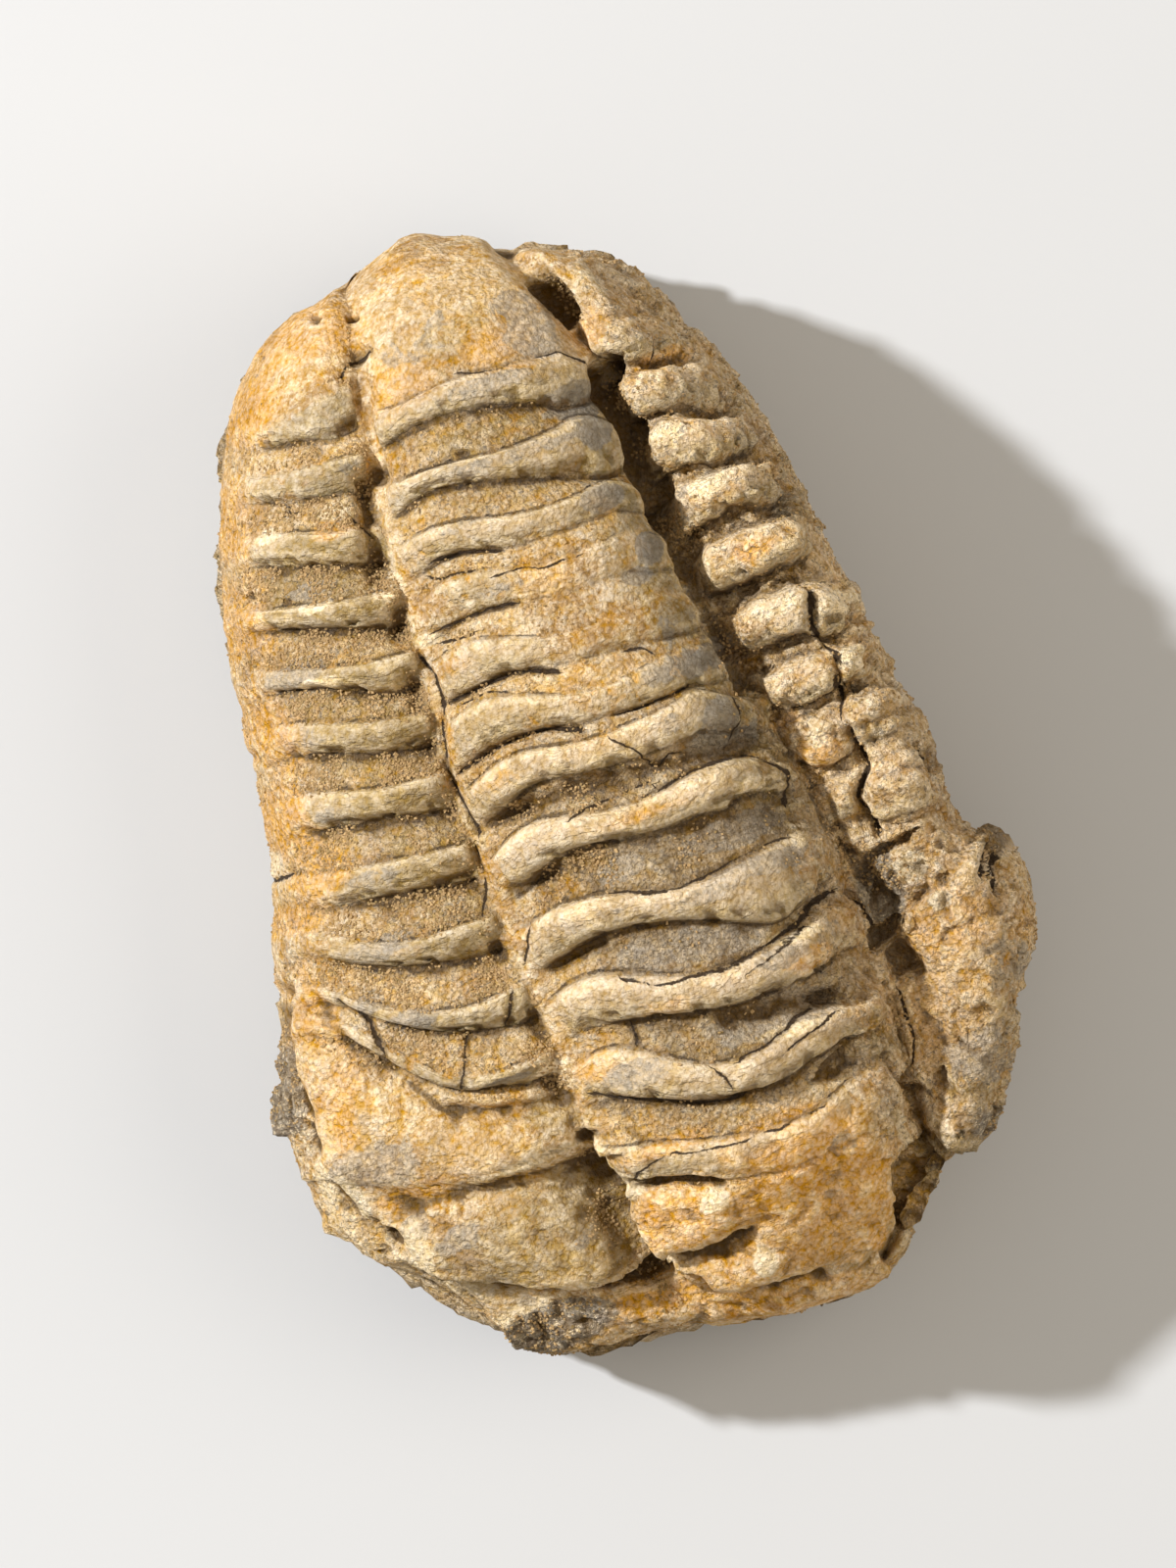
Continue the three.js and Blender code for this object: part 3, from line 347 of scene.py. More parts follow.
RIGHT_KNOBS = [
    ([(6.8, 28.6), (10, 28.6), (13.4, 27.6)], [(7.6, 25.7), (10, 25.4), (13, 25), (14.8, 24.6)], 0.8),
    ([(7.6, 24.9), (10, 24.8), (13, 24.3), (15, 23.6)],
     [(7.8, 22), (10, 21.8), (12, 21.8), (13.2, 21), (15.6, 20.4)], 1.0),
    ([(7.9, 20.9), (10, 21.3), (12, 20.9), (15.8, 19.7)],
     [(8, 17.9), (11, 18), (13, 17.8), (14.5, 18), (16.3, 17.2)], 1.0),
    ([(8.3, 16.9), (10, 17.3), (13, 17.2), (16.6, 16.4)],
     [(8.5, 14.1), (11, 14.5), (13, 14.6), (15, 14.2), (16.9, 13.8)], 1.2),
    ([(8.8, 12.9), (10, 13.3), (14, 13.3), (17.2, 12.8)],
     [(9, 10), (12, 10.1), (15.2, 10.2), (17.3, 9.8)], 1.4),
    ([(9.2, 8.2), (12, 9), (14.5, 9), (17.6, 8.4)],
     [(9.3, 5.8), (12, 5.8), (13.5, 5.8), (15.5, 5.2), (18, 4.9)], 1.1),
    ([(9.8, 3.8), (12, 4.5), (15, 4.4), (18.2, 4.3)],
     [(10, 2), (12, 1.3), (14, 1.6), (16, 1.6), (18.6, 1.7)], 0.7),
    ([(10.6, 0.7), (13, 0.9), (16, 1), (19, 0.8)],
     [(10.9, -2.5), (13, -2.7), (15, -2.2), (19.2, -1.8)], 0.7),
    ([(11.3, -3.4), (13, -3.5), (16, -3.3), (19.4, -3)],
     [(11.5, -6.1), (13.5, -6.3), (15, -7.2), (19.4, -7)], 0.5),
]
BAND_START = 0.45  # the share of a segment that lies above a band's upper edge
PLEURA_OFFSET = 0.43  # the ribs lie this much of a segment nearer the tail than their rings


def wander(x, y):
    """Raggedness of the edges, in mm: quick along a band, slow across it, so that rows never cross."""
    spread = np.stack([x, y / 3, np.zeros(x.shape)], axis=-1)
    return 0.26 * noise(spread, 1.7, 31) + 0.15 * noise(spread, 0.7, 32)


BENT_BEYOND = 0.9  # segments past the first and last line, over which the bending dies away


def row_shift(q, x, y, bands, offset):
    """How far the rows move along y so that they follow the drawn lines."""
    lines = []
    for number, (upper, lower, _) in enumerate(bands, 1):
        lines += [(number - 1 + BAND_START - offset, upper), (number - offset, lower)]
    first, last = lines[0][0] - BENT_BEYOND, lines[-1][0] + BENT_BEYOND
    places = np.array([first] + [place for place, _ in lines] + [last])
    shifts = np.zeros((len(places), *x.shape[1:]))
    for k, (place, line) in enumerate(lines, 1):
        row = np.searchsorted(q, place)
        shifts[k] = along(line, x[row].ravel()).reshape(x[row].shape) - y[row]
    k = np.clip(np.searchsorted(places, q), 1, len(places) - 1)
    t = np.clip((q - places[k - 1]) / (places[k] - places[k - 1]), 0, 1)[:, None]
    return shifts[k - 1] * (1 - t) + shifts[k] * t + wander(x, y)

# %% [markdown]
# ## The smooth body
# Each row is a closed loop of points: down the left side lobe, over the arch of the middle lobe, down the
# right side lobe, and back under the stone. Loops keep their points evenly spread round the steep flanks,
# where a height map would stretch, and the two ends close on a single point. A side lobe falls away slowly
# at first and steeply at its margin, and swells on the way; the crushed right one swells most.

# %% Body rows
ROWS_A_SEGMENT = 23
TAIL_RUN, TAIL_ROWS = 2.5, 48  # the curled tail: segments, and rows over them
HEAD_RUN, HEAD_ROWS = 3.2, 66
PLEURA_STEPS = 66  # points across a side lobe
LOBE_STEPS = 78  # points across the middle lobe
FLANK_STEPS = 7  # points down each undercut flank
FLOOR_STEPS = 10  # points under the stone


def row_places():
    """Where the rows lie, in segments: evenly, but closer where the two ends curl under."""
    tail = TAIL_END + TAIL_RUN * np.linspace(0.06, 1, TAIL_ROWS) ** 1.5
    body = np.arange(tail[-1], HEAD_END - HEAD_RUN, 1 / ROWS_A_SEGMENT)[1:]
    head = HEAD_END - HEAD_RUN * np.linspace(1, 0.04, HEAD_ROWS) ** 1.35
    return np.concatenate([tail, body, head])


# By segment: the power of the fall from furrow to margin; then how many mm the lobe swells, and how far out.
LEFT_FLATNESS = [[TAIL_END, 0.55], [HEAD_END, 0.55]]
RIGHT_FLATNESS = [[TAIL_END, 0.5], [2.5, 0.42], [4.5, 0.28], [6, 0.24], [12, 0.24],
                  [13.5, 0.38], [HEAD_END, 0.5]]
LEFT_SWELL = [[TAIL_END, 1.2, 0.33], [HEAD_END, 1.2, 0.33]]
RIGHT_SWELL = [[TAIL_END, 1.2, 0.33], [1.5, 1.5, 0.4], [4.5, 1.9, 0.66], [12.5, 1.9, 0.68],
               [HEAD_END, 1.0, 0.4]]
SWELL_WIDTH = 0.28


def side_steps(width, height, flatness):
    """Angles that spread the points evenly over the side lobe; the steep flank gets half as many."""
    angle = np.linspace(0, math.pi / 2, 4000)
    over, down = np.diff(width * np.sin(angle)), np.diff(height * np.cos(angle) ** flatness)
    length = np.concatenate([[0], np.cumsum(np.hypot(over, down / 2))])
    return np.interp(np.linspace(0, length[-1], PLEURA_STEPS + 1)[1:], length, angle)


def side_lobe(q, margin, furrow, bands, flatness, swell):
    """A side lobe: it leaves its furrow nearly level, swells, and meets the margin standing upright."""
    angle = side_steps(10, 13, 0.4)[:, None, None]
    across = np.broadcast_to(np.sin(angle)[..., 0], (PLEURA_STEPS, len(q))).T
    points = (furrow + (margin - furrow) * np.sin(angle)).transpose(1, 0, 2)
    tall, out = along(swell, q).T[..., None]
    raised = np.minimum(furrow[:, 2:] - MARGIN_HEIGHT, 1) * tall * bell((np.sin(angle) - out) / SWELL_WIDTH)
    height = margin[:, 2:] + (furrow - margin)[:, 2:] * np.abs(np.cos(angle)) ** along(flatness, q) + raised
    points[..., 2] = height[..., 0].T
    shift = row_shift(q, points[..., 0], points[..., 1], bands, PLEURA_OFFSET)
    points[..., 1] += shift * ramp(across, 0, 0.15) * (1 - ramp(across, 0.8, 1))
    return points, across


LOBE_ROUNDNESS = 1.35  # 1 is a half ellipse; more is rounder on top and softer at the furrows


def middle_lobe(q, left, right, crest):
    """An arch between the two furrows, with its rows bowed to follow the rings."""
    angle = (np.linspace(0, 1, LOBE_STEPS + 1) - 0.5)[:, None, None] * math.pi
    across = np.broadcast_to(np.sin(angle)[..., 0], (LOBE_STEPS + 1, len(q))).T
    points = (left + (right - left) * (np.sin(angle) + 1) / 2).transpose(1, 0, 2)
    rise = (crest - (left + right) / 2)[:, None]
    points[..., 1] += rise[..., 1] * (1 - across**2)
    points[..., 2] += rise[..., 2] * np.abs(np.cos(angle[..., 0].T)) ** LOBE_ROUNDNESS
    shift = row_shift(q, points[..., 0], points[..., 1], RINGS, 0)
    points[..., 1] += shift * (1 - np.abs(across) ** 8)
    return points, across


def underside(q, left, right):
    """The rock under the margin: in and down on the right, along the flat, and up on the left."""
    tail = np.clip((q - TAIL_END) / 1.7, 0, 1)
    head = np.clip((HEAD_END - q) / 1.5, 0, 1)
    depth = MARGIN_HEIGHT * np.sqrt(1 - (1 - tail) ** 2) * np.sqrt(1 - (1 - head) ** 2)
    width = right[:, 0] - left[:, 0]
    inset = np.minimum(UNDERCUT, width * 0.3)
    turn = np.linspace(0, math.pi / 2, FLANK_STEPS + 1)[1:, None]
    right_x = right[:, 0] - inset * (1 - np.cos(turn))
    left_x = left[:, 0] + inset * (1 - np.cos(turn))
    share = np.linspace(0, 1, FLOOR_STEPS + 1)[1:-1, None]
    floor_x = (right[:, 0] - inset) * (1 - share) + (left[:, 0] + inset) * share
    x = np.concatenate([right_x, floor_x, left_x[::-1]])
    drop = np.concatenate([depth * np.sin(turn), np.broadcast_to(depth, floor_x.shape),
                           (depth * np.sin(turn))[::-1]])
    way = ((x - left[:, 0]) / np.maximum(width, 0.01))[..., None]
    points = left + (right - left) * way
    points[..., 2] -= drop
    return points.transpose(1, 0, 2), way[..., 0].T * 2 - 1


q_rows = row_places()
left_margin, right_margin = along(LEFT_MARGIN, q_rows), along(RIGHT_MARGIN, q_rows)
left_furrow, right_furrow = along(LEFT_FURROW, q_rows), along(RIGHT_FURROW, q_rows)
LEFT, MIDDLE, RIGHT, UNDER = range(4)
left_side, left_across = side_lobe(
    q_rows, left_margin, left_furrow, LEFT_RIBS, LEFT_FLATNESS, LEFT_SWELL)
right_side, right_across = side_lobe(
    q_rows, right_margin, right_furrow, RIGHT_KNOBS, RIGHT_FLATNESS, RIGHT_SWELL)
lobe, lobe_across = middle_lobe(q_rows, left_furrow, right_furrow, along(CREST, q_rows))
below, below_across = underside(q_rows, left_margin, right_margin)
smooth = np.concatenate([left_side[:, ::-1], lobe, right_side, below], axis=1)
across = np.concatenate([left_across[:, ::-1], lobe_across, right_across, below_across], axis=1)
part = np.repeat([LEFT, MIDDLE, RIGHT, UNDER], [PLEURA_STEPS, LOBE_STEPS + 1, PLEURA_STEPS,
                                                below.shape[1]])
part = np.broadcast_to(part, across.shape)
segment = np.broadcast_to(q_rows[:, None], part.shape)
ROWS, COLUMNS = part.shape
print("grid:", ROWS, "rows of", COLUMNS, "points,", 2 * ROWS * COLUMNS, "triangles")


def normals_of(points):
    """Outward normals of the grid, from each point's neighbours along and across."""
    down = np.gradient(points, axis=0)
    over = np.roll(points, -1, axis=1) - np.roll(points, 1, axis=1)
    normal = np.cross(down, over)
    return normal / np.maximum(np.linalg.norm(normal, axis=-1, keepdims=True), 1e-9)


def blurred(grid, rows, columns, times=2):
    """The grid averaged over a window of rows and columns; the columns run round in a ring."""
    for _ in range(times):
        padded = np.concatenate([grid[:1].repeat(rows, 0), grid, grid[-1:].repeat(rows, 0)])
        grid = sum(padded[k:k + len(grid)] for k in range(2 * rows + 1)) / (2 * rows + 1)
        grid = sum(np.roll(grid, k, axis=1) for k in range(-columns, columns + 1)) / (2 * columns + 1)
    return grid


# The left furrow and the whole tail are soft valleys; only the right furrow is a sharp one.
soft = np.where(part == UNDER, 0.0, 1.0) * (1 - ramp(smooth[..., 0], 2, 6) * ramp(segment, -0.6, 0.4))
smooth = smooth + (blurred(smooth, 0, 5) - smooth) * (soft * ramp(segment, -2.3, -1.6))[..., None]
outward = blurred(normals_of(smooth), 3, 3, 1)
outward /= np.maximum(np.linalg.norm(outward, axis=-1, keepdims=True), 1e-9)
on_back = (part != UNDER).astype(float)

# %% [markdown]
# ## The ribs
# On the animal every segment has one ring and two ribs, so the relief is one profile repeated along the
# body. That is a rule, and Geometry Nodes suit it: the mesh carries the place of each point in segments,
# the tree takes its fraction, reads a height from a drawn curve and pushes the point out by it. The curve
# rises from a gritty groove over a thin lip to a round ridge and drops sharply on the head side.

# %% What the rib tree reads
RING_RELIEF, RIB_RELIEF, KNOB_RELIEF = 0.64, 0.6, 0.72  # mm, either way from the smooth body


def step_strength(bands, at):
    """How strongly each band's step shows, blended from one band to the next."""
    values = np.array([np.atleast_1d(shows) for *_, shows in bands], float)
    return [np.interp(at, np.arange(1, len(bands) + 1), column) for column in values.T]


def rib_place_and_strength():
    """Each point's place in segments, and how far the ribs push it, in mm, before the ends fade out."""
    place = segment + PLEURA_OFFSET * ((part == LEFT) | (part == RIGHT))
    left, middle, right = step_strength(RINGS, place)
    ring = np.where(across < 0, middle + (left - middle) * -across, middle + (right - middle) * across)
    ring = RING_RELIEF * ring * ramp(segment, 0.1, 0.9) * (1 - ramp(segment, 12.0, 12.3))
    ring = ring * (1 - np.abs(across) ** 8)
    fade = (1.35 - 0.85 * across) * (1 - 0.8 * ramp(across, 0.7, 0.97))
    rib = RIB_RELIEF * step_strength(LEFT_RIBS, place)[0] * ramp(place, 0.3, 0.9)
    rib = rib * (1 - ramp(place, 11, 11.3)) * fade * ramp(across, 0, 0.09)
    knob = KNOB_RELIEF * step_strength(RIGHT_KNOBS, place)[0] * ramp(place, 0.3, 0.9)
    knob = knob * (1 - ramp(place, 9, 9.3)) * (1 - ramp(across, 0.7, 0.97)) * ramp(across, 0, 0.05)
    strength = np.select([part == MIDDLE, part == LEFT, part == RIGHT], [ring, rib, knob], 0.0)
    return place, strength * (1 + 0.25 * noise(smooth, 3.0, 5) + 0.2 * noise(smooth, 1.2, 6))


BROAD_GROOVES = [0.3, 0.3, 0, 0, 0, 0.1, 0.9, 1, 1, 1, 0.6, 0]  # by ring: how far its groove is a trough


def kind_shares():
    """Which drawn profile each point follows; the shares add up to 1."""
    middle = (part == MIDDLE).astype(float)
    broad = middle * np.interp(place, np.arange(1, len(BROAD_GROOVES) + 1), BROAD_GROOVES)
    rib_end = (part == LEFT) * (1 - ramp(across, 0.05, 0.6))
    knob = (part == RIGHT).astype(float)
    return {"ring": middle - broad, "broad_ring": broad, "rib_end": rib_end, "knob": knob,
            "rib": 1 - middle - rib_end - knob}


def grid_faces():
    """Quads between the rows, wound to face out; the ring of columns closes on itself."""
    i, j = np.meshgrid(np.arange(ROWS - 1), np.arange(COLUMNS), indexing="ij")
    after = (j + 1) % COLUMNS
    quads = np.stack([i * COLUMNS + j, (i + 1) * COLUMNS + j,
                      (i + 1) * COLUMNS + after, i * COLUMNS + after], axis=-1)
    return quads.reshape(-1, 4).tolist()


def end_faces():
    """Triangles that close the tail and the head on one point each."""
    tail, head = ROWS * COLUMNS, ROWS * COLUMNS + 1
    last = (ROWS - 1) * COLUMNS
    ring = [(j, (j + 1) % COLUMNS) for j in range(COLUMNS)]
    return [(tail, a, b) for a, b in ring] + [(head, last + b, last + a) for a, b in ring]


def write_attribute(mesh, name, values, kind="FLOAT"):
    """Stores a grid of values on the mesh's points; the two end points take their rows' averages."""
    width = 3 if kind == "FLOAT_VECTOR" else 1
    flat = np.asarray(values, np.float32).reshape(ROWS, COLUMNS, width)
    ends = np.stack([flat[0].mean(0), flat[-1].mean(0)])
    layer = mesh.attributes.get(name) or mesh.attributes.new(name, kind, "POINT")
    data = np.concatenate([flat.reshape(-1, width), ends]).ravel()
    layer.data.foreach_set("vector" if width == 3 else "value", data)


def stone_mesh(grid):
    """The grid as a closed mesh, in metres, with its ends shut on the two tips."""
    tips = np.array([TAIL_TIP[1:], HEAD_TIP[1:]], float)
    places = (np.concatenate([grid.reshape(-1, 3), tips]) - OUTLINE_MIDDLE) * MM
    mesh = bpy.data.meshes.new("trilobite_stone")
    mesh.from_pydata(places.tolist(), [], grid_faces() + end_faces())
    return mesh


place, strength = rib_place_and_strength()
body_mesh = stone_mesh(smooth)
write_attribute(body_mesh, "segment", place)
write_attribute(body_mesh, "rib_strength", strength)
for kind, share in kind_shares().items():
    write_attribute(body_mesh, kind, share)
write_attribute(body_mesh, "outward", outward, "FLOAT_VECTOR")
print("smooth body:", len(body_mesh.vertices), "points")

# %% [markdown]
# ## The rib profiles and their tree
# Five profiles are drawn as curves: a ring of the middle lobe, a ring with a wide trough before it, the
# middle of a rib, its steep inner end, and a knob of the crushed side. A bump map could fake them, but the
# low light needs real ledges to throw their shadows. The tree adds the profiles up by the shares stored on
# the mesh. Its maths is written as Python sums: one small class lets a socket be added and multiplied.

# %% The rib tree
PROFILES = {  # share of a segment, from the foot of one ring to the foot of the next, and height
    "ring": [(0, 0.06), (0.03, 0.0), (0.08, 0.1), (0.18, 0.32), (0.32, 0.47), (0.42, 0.52), (0.455, 0.54),
             (0.49, 0.8), (0.55, 0.96), (0.63, 1.0), (0.73, 0.97), (0.83, 0.88), (0.9, 0.74), (0.95, 0.5),
             (1, 0.06)],
    "broad_ring": [(0, 0.1), (0.04, 0.03), (0.12, 0.0), (0.25, 0.06), (0.36, 0.18), (0.43, 0.3), (0.46, 0.38),
                   (0.49, 0.72), (0.54, 0.92), (0.62, 1.0), (0.72, 0.99), (0.82, 0.94), (0.89, 0.84),
                   (0.94, 0.64), (0.97, 0.4), (1, 0.1)],
    "rib": [(0, 0.04), (0.04, 0.0), (0.12, 0.12), (0.24, 0.34), (0.36, 0.46), (0.44, 0.52), (0.48, 0.72),
            (0.58, 0.92), (0.68, 1.0), (0.78, 0.95), (0.87, 0.74), (0.94, 0.42), (1, 0.04)],
    "rib_end": [(0, 0.03), (0.03, 0.0), (0.1, 0.1), (0.22, 0.36), (0.34, 0.56), (0.44, 0.68), (0.48, 0.88),
                (0.52, 1.0), (0.58, 0.98), (0.68, 0.83), (0.79, 0.61), (0.9, 0.35), (0.97, 0.14), (1, 0.03)],
    "knob": [(0, 0.08), (0.05, 0.0), (0.15, 0.04), (0.3, 0.16), (0.42, 0.3), (0.46, 0.5), (0.5, 0.82),
             (0.56, 0.96), (0.65, 1.0), (0.8, 1.0), (0.89, 0.94), (0.95, 0.74), (1, 0.08)],
}


class Value:
    """An output socket that can be added, subtracted, multiplied and divided as a number."""

    def __init__(self, tree, socket):
        self.tree = tree
        self.socket = socket

    def math(self, operation, *others, clamp=False):
        """One maths node, with this value first."""
        values = {f"_{i}": other for i, other in enumerate((self, *others))}
        return self.tree.node("ShaderNodeMath", {"operation": operation, "use_clamp": clamp}, **values)

    def __add__(self, other):
        return self.math("ADD", other)

    def __sub__(self, other):
        return self.math("SUBTRACT", other)

    def __mul__(self, other):
        return self.math("MULTIPLY", other)

    def __truediv__(self, other):
        return self.math("DIVIDE", other)

    def __rsub__(self, other):
        return self.tree.node("ShaderNodeMath", {"operation": "SUBTRACT"}, _0=other, _1=self)

    __radd__ = __add__
    __rmul__ = __mul__

    def clamped(self):
        """The value, cut off below 0 and above 1."""
        return self.math("ADD", 0.0, clamp=True)

    def step(self, low, high):
        """A smooth step from 0 at low to 1 at high."""
        settings = {"interpolation_type": "SMOOTHSTEP"}
        return self.tree.node("ShaderNodeMapRange", settings, Value=self, From_Min=low, From_Max=high)


class Tree:
    """A node tree written as calls: node() adds one node and returns its chosen output."""

    def __init__(self, tree):
        self.tree = tree

    def node(self, kind, settings=None, out=0, **values):
        """One node; a value is named after its input, or _0, _1 and so on by the input's number."""
        made = self.tree.nodes.new(kind)
        for name, value in (settings or {}).items():
            setattr(made, name, value)
        for name, value in values.items():
            key = int(name[1:]) if name[1:].isdigit() else name.replace("_", " ")
            if isinstance(value, Value):
                self.tree.links.new(value.socket, made.inputs[key])
            else:
                made.inputs[key].default_value = value
        return Value(self, made.outputs[out])

    def vector(self, operation, *values, out=0, **named):
        """One node of vector maths."""
        inputs = {f"_{i}": value for i, value in enumerate(values)}
        return self.node("ShaderNodeVectorMath", {"operation": operation}, out=out, **inputs, **named)

    def profile(self, points, value):
        """A height drawn as a curve, read at value."""
        height = self.node("ShaderNodeFloatCurve", Value=value)
        mapping = height.socket.node.mapping
        curve = mapping.curves[0]
        for x, y in points[1:-1]:
            curve.points.new(x, y)
        curve.points[0].location = points[0]
        curve.points[-1].location = points[-1]
        for point in curve.points:
            point.handle_type = "AUTO_CLAMPED"
        mapping.update()
        return height


def geometry_tree(name, **inputs):
    """An empty Geometry Nodes tree with these named inputs; returns it, its calls and its inputs."""
    tree = bpy.data.node_groups.new(name, "GeometryNodeTree")
    tree.interface.new_socket("Geometry", in_out="OUTPUT", socket_type="NodeSocketGeometry")
    tree.interface.new_socket("Geometry", in_out="INPUT", socket_type="NodeSocketGeometry")
    for title, kind in inputs.items():
        tree.interface.new_socket(title.replace("_", " "), in_out="INPUT", socket_type=kind)
    t = Tree(tree)
    sockets = {s.name: Value(t, s) for s in tree.nodes.new("NodeGroupInput").outputs if s.name}
    return tree, t, sockets


def finish_geometry(t, geometry, material):
    """Ends a Geometry Nodes tree: real geometry with its material, to the group's output."""
    real = t.node("GeometryNodeRealizeInstances", Geometry=geometry)
    finished = t.node("GeometryNodeSetMaterial", Geometry=real, Material=material)
    t.tree.links.new(finished.socket, t.tree.nodes.new("NodeGroupOutput").inputs["Geometry"])


def stored(t, name, kind="FLOAT"):
    """A named attribute of the mesh, in a Geometry Nodes tree."""
    return t.node("GeometryNodeInputNamedAttribute", {"data_type": kind}, Name=name)


def rib_tree():
    """The Geometry Nodes tree that pushes the ribs out of the smooth body."""
    tree, t, inputs = geometry_tree("segment_ribs", Relief="NodeSocketFloat", Stone="NodeSocketMaterial")
    share = stored(t, "segment").math("FRACT")
    height = sum(t.profile(points, share) * stored(t, kind) for kind, points in PROFILES.items())
    push = (height * 2.0 - 1.0) * stored(t, "rib_strength") * inputs["Relief"]
    offset = t.vector("SCALE", stored(t, "outward", "FLOAT_VECTOR"), Scale=push)
    moved = t.node("GeometryNodeSetPosition", Geometry=inputs["Geometry"], Offset=offset)
    finish_geometry(t, moved, inputs["Stone"])
    return tree


def grown(obj, tree, settings):
    """The result of a Geometry Nodes tree on obj as a plain mesh, with its named inputs set."""
    modifier = obj.modifiers.new(tree.name, "NODES")
    modifier.node_group = tree
    for socket in tree.interface.items_tree:
        if socket.in_out == "INPUT" and socket.name in settings:
            modifier[socket.identifier] = settings[socket.name]
    bpy.context.view_layer.update()
    depsgraph = bpy.context.evaluated_depsgraph_get()
    mesh = bpy.data.meshes.new_from_object(obj.evaluated_get(depsgraph), depsgraph=depsgraph)
    obj.modifiers.remove(modifier)
    return mesh


stone_finish = bpy.data.materials.new("fossil_stone")
body = placed("body_in_work", body_mesh)
ribbed_mesh = grown(body, rib_tree(), {"Relief": MM, "Stone": stone_finish})
bpy.data.objects.remove(body)


def grid_of(mesh):
    """The mesh's points back as a grid, in mm."""
    flat = np.empty(len(mesh.vertices) * 3, np.float32)
    mesh.vertices.foreach_get("co", flat)
    points = flat.reshape(-1, 3)[:ROWS * COLUMNS].astype(float)
    return points.reshape(ROWS, COLUMNS, 3) / MM + OUTLINE_MIDDLE


ribbed = grid_of(ribbed_mesh)
print("ribs push the points up to", round(float(np.abs(ribbed - smooth).max()), 2), "mm")

# %% [markdown]
# ## Grooves, ledges and blocks
# The rest of the form isn't a rule: a broken cheek, the knobs of the crushed right side, cracks, pits and
# bits of rock left on. Each is one short line or outline in a list, drawn in plan, and pressed in or raised
# along the body's normal, as a thumb or a graver would.

# %% Feature lists
GROOVES = [  # depth (minus for a ridge), half width (or one for each hand), points
    (0.8, 0.9, (4.2, 35.5), (5, 33.5), (6.3, 31), (7, 28.5)),
    (1.2, 0.8, (-9, 24), (-9.5, 21.5), (-10.3, 18.2)),
    (0.8, 0.6, (-9.8, 15.5), (-10, 14.3)),
    (0.6, 0.6, (-10.4, 11), (-10.6, 9.8)),
    (0.5, 0.7, (-10, -11.6), (-10, -12.6)),
    (0.6, 0.7, (-10.6, -16), (-9.8, -17)),
    (0.55, 0.5, (-17, -15.6), (-14, -16.4), (-10.5, -16.9)),
    (0.35, 1.1, (-21.5, -11), (-19, -13.6), (-17.6, -16)),
    (0.9, 1.3, (13, -15.5), (13.7, -18.5), (13.6, -21.5), (12.6, -24)),
    (0.5, 0.5, (-7, 32), (-7.8, 27.5), (-8.2, 24)),
    (-0.4, 0.75, (-8.6, 21), (-9.1, 13), (-9.4, 5), (-9.6, -4), (-9.2, -13), (-8.9, -17)),
    (2.3, 0.65, (7.3, 25.8), (7.7, 22), (8, 18), (8.3, 16)),
    (1.8, 0.6, (8.3, 16), (8.5, 13), (8.9, 9), (9.3, 6), (9.5, 4)),
    (0.2, 0.6, (9.5, 4), (9.9, 2), (10.5, -0.5), (11.2, -3.5), (11.6, -6)),
    (0.7, 0.7, (-9, 1.2), (-7, 1.1), (-4, 1.3), (-1, 1), (2, 0.9), (5, 0.7), (8.5, 0.4)),
    (0.6, 0.7, (1.5, -15.7), (4, -16.2), (6.5, -16.3), (8.6, -16.2)),
    (0.6, 0.6, (-8.6, -3.4), (-6.5, -3.2)),
    (0.5, 0.5, (-8.2, -8.9), (-6.5, -8.6), (-5, -8.4)),
    (2.0, (0.3, 2.6), (-9.1, -22.4), (-9, -23.6), (-8.95, -25.5), (-8.6, -27.2), (-7.9, -28.4)),
    (1.5, (0.3, 0.9), (-7, -28.7), (-5.5, -29.1), (-4, -29.4), (-2.6, -28.9)),
    (0.9, 0.3, (-8.3, -23.4), (-6.3, -24), (-4.5, -24.5), (-2.6, -25.3)),
    (0.9, 0.5, (-5.4, -31.7), (-4, -32.2), (-2.5, -32.7), (-0.5, -33), (1.6, -33)),
    (1.2, 0.7, (-24.9, -5), (-25.7, -7.6), (-26.2, -10), (-26, -12.6), (-26.1, -14.5)),
    (0.3, 0.5, (-23.5, -3.5), (-22.6, -6.4), (-21.6, -9.6), (-19.8, -12.6), (-17.5, -15.4), (-14, -16.4)),
    (0.5, 1.2, (6.2, -23.6), (4.6, -26.4), (3.4, -29.6)),
    (1.0, 0.35, (10.1, -21), (10.3, -22.6), (10.8, -23.9), (10.7, -26.8)),
    (0.5, 0.6, (9.5, 31.5), (11.5, 28.6), (13.4, 27)),
]
LEDGES = [  # drop, run, points: the ground is lower on the right hand
    (0.35, 1.4, (-25.6, -17.4), (-23, -18.8), (-20, -19.9), (-15.5, -20.2)),
    (0.8, 1.2, (-14.8, -20.4), (-12, -20.7), (-9.8, -20.9)),
    (1.4, 1.8, (-20.4, -25), (-17.8, -26.5), (-15, -28), (-13, -28.9), (-10.6, -29.3)),
    (1.0, 0.8, (-26, -14.5), (-25.3, -18), (-24.5, -20), (-22.8, -22), (-21.2, -24.7), (-20, -27),
     (-18.8, -29.4)),
    (0.8, 0.6, (-26.8, -20.2), (-24.6, -22.9), (-22.5, -25.3), (-20.7, -28), (-19.3, -30)),
]
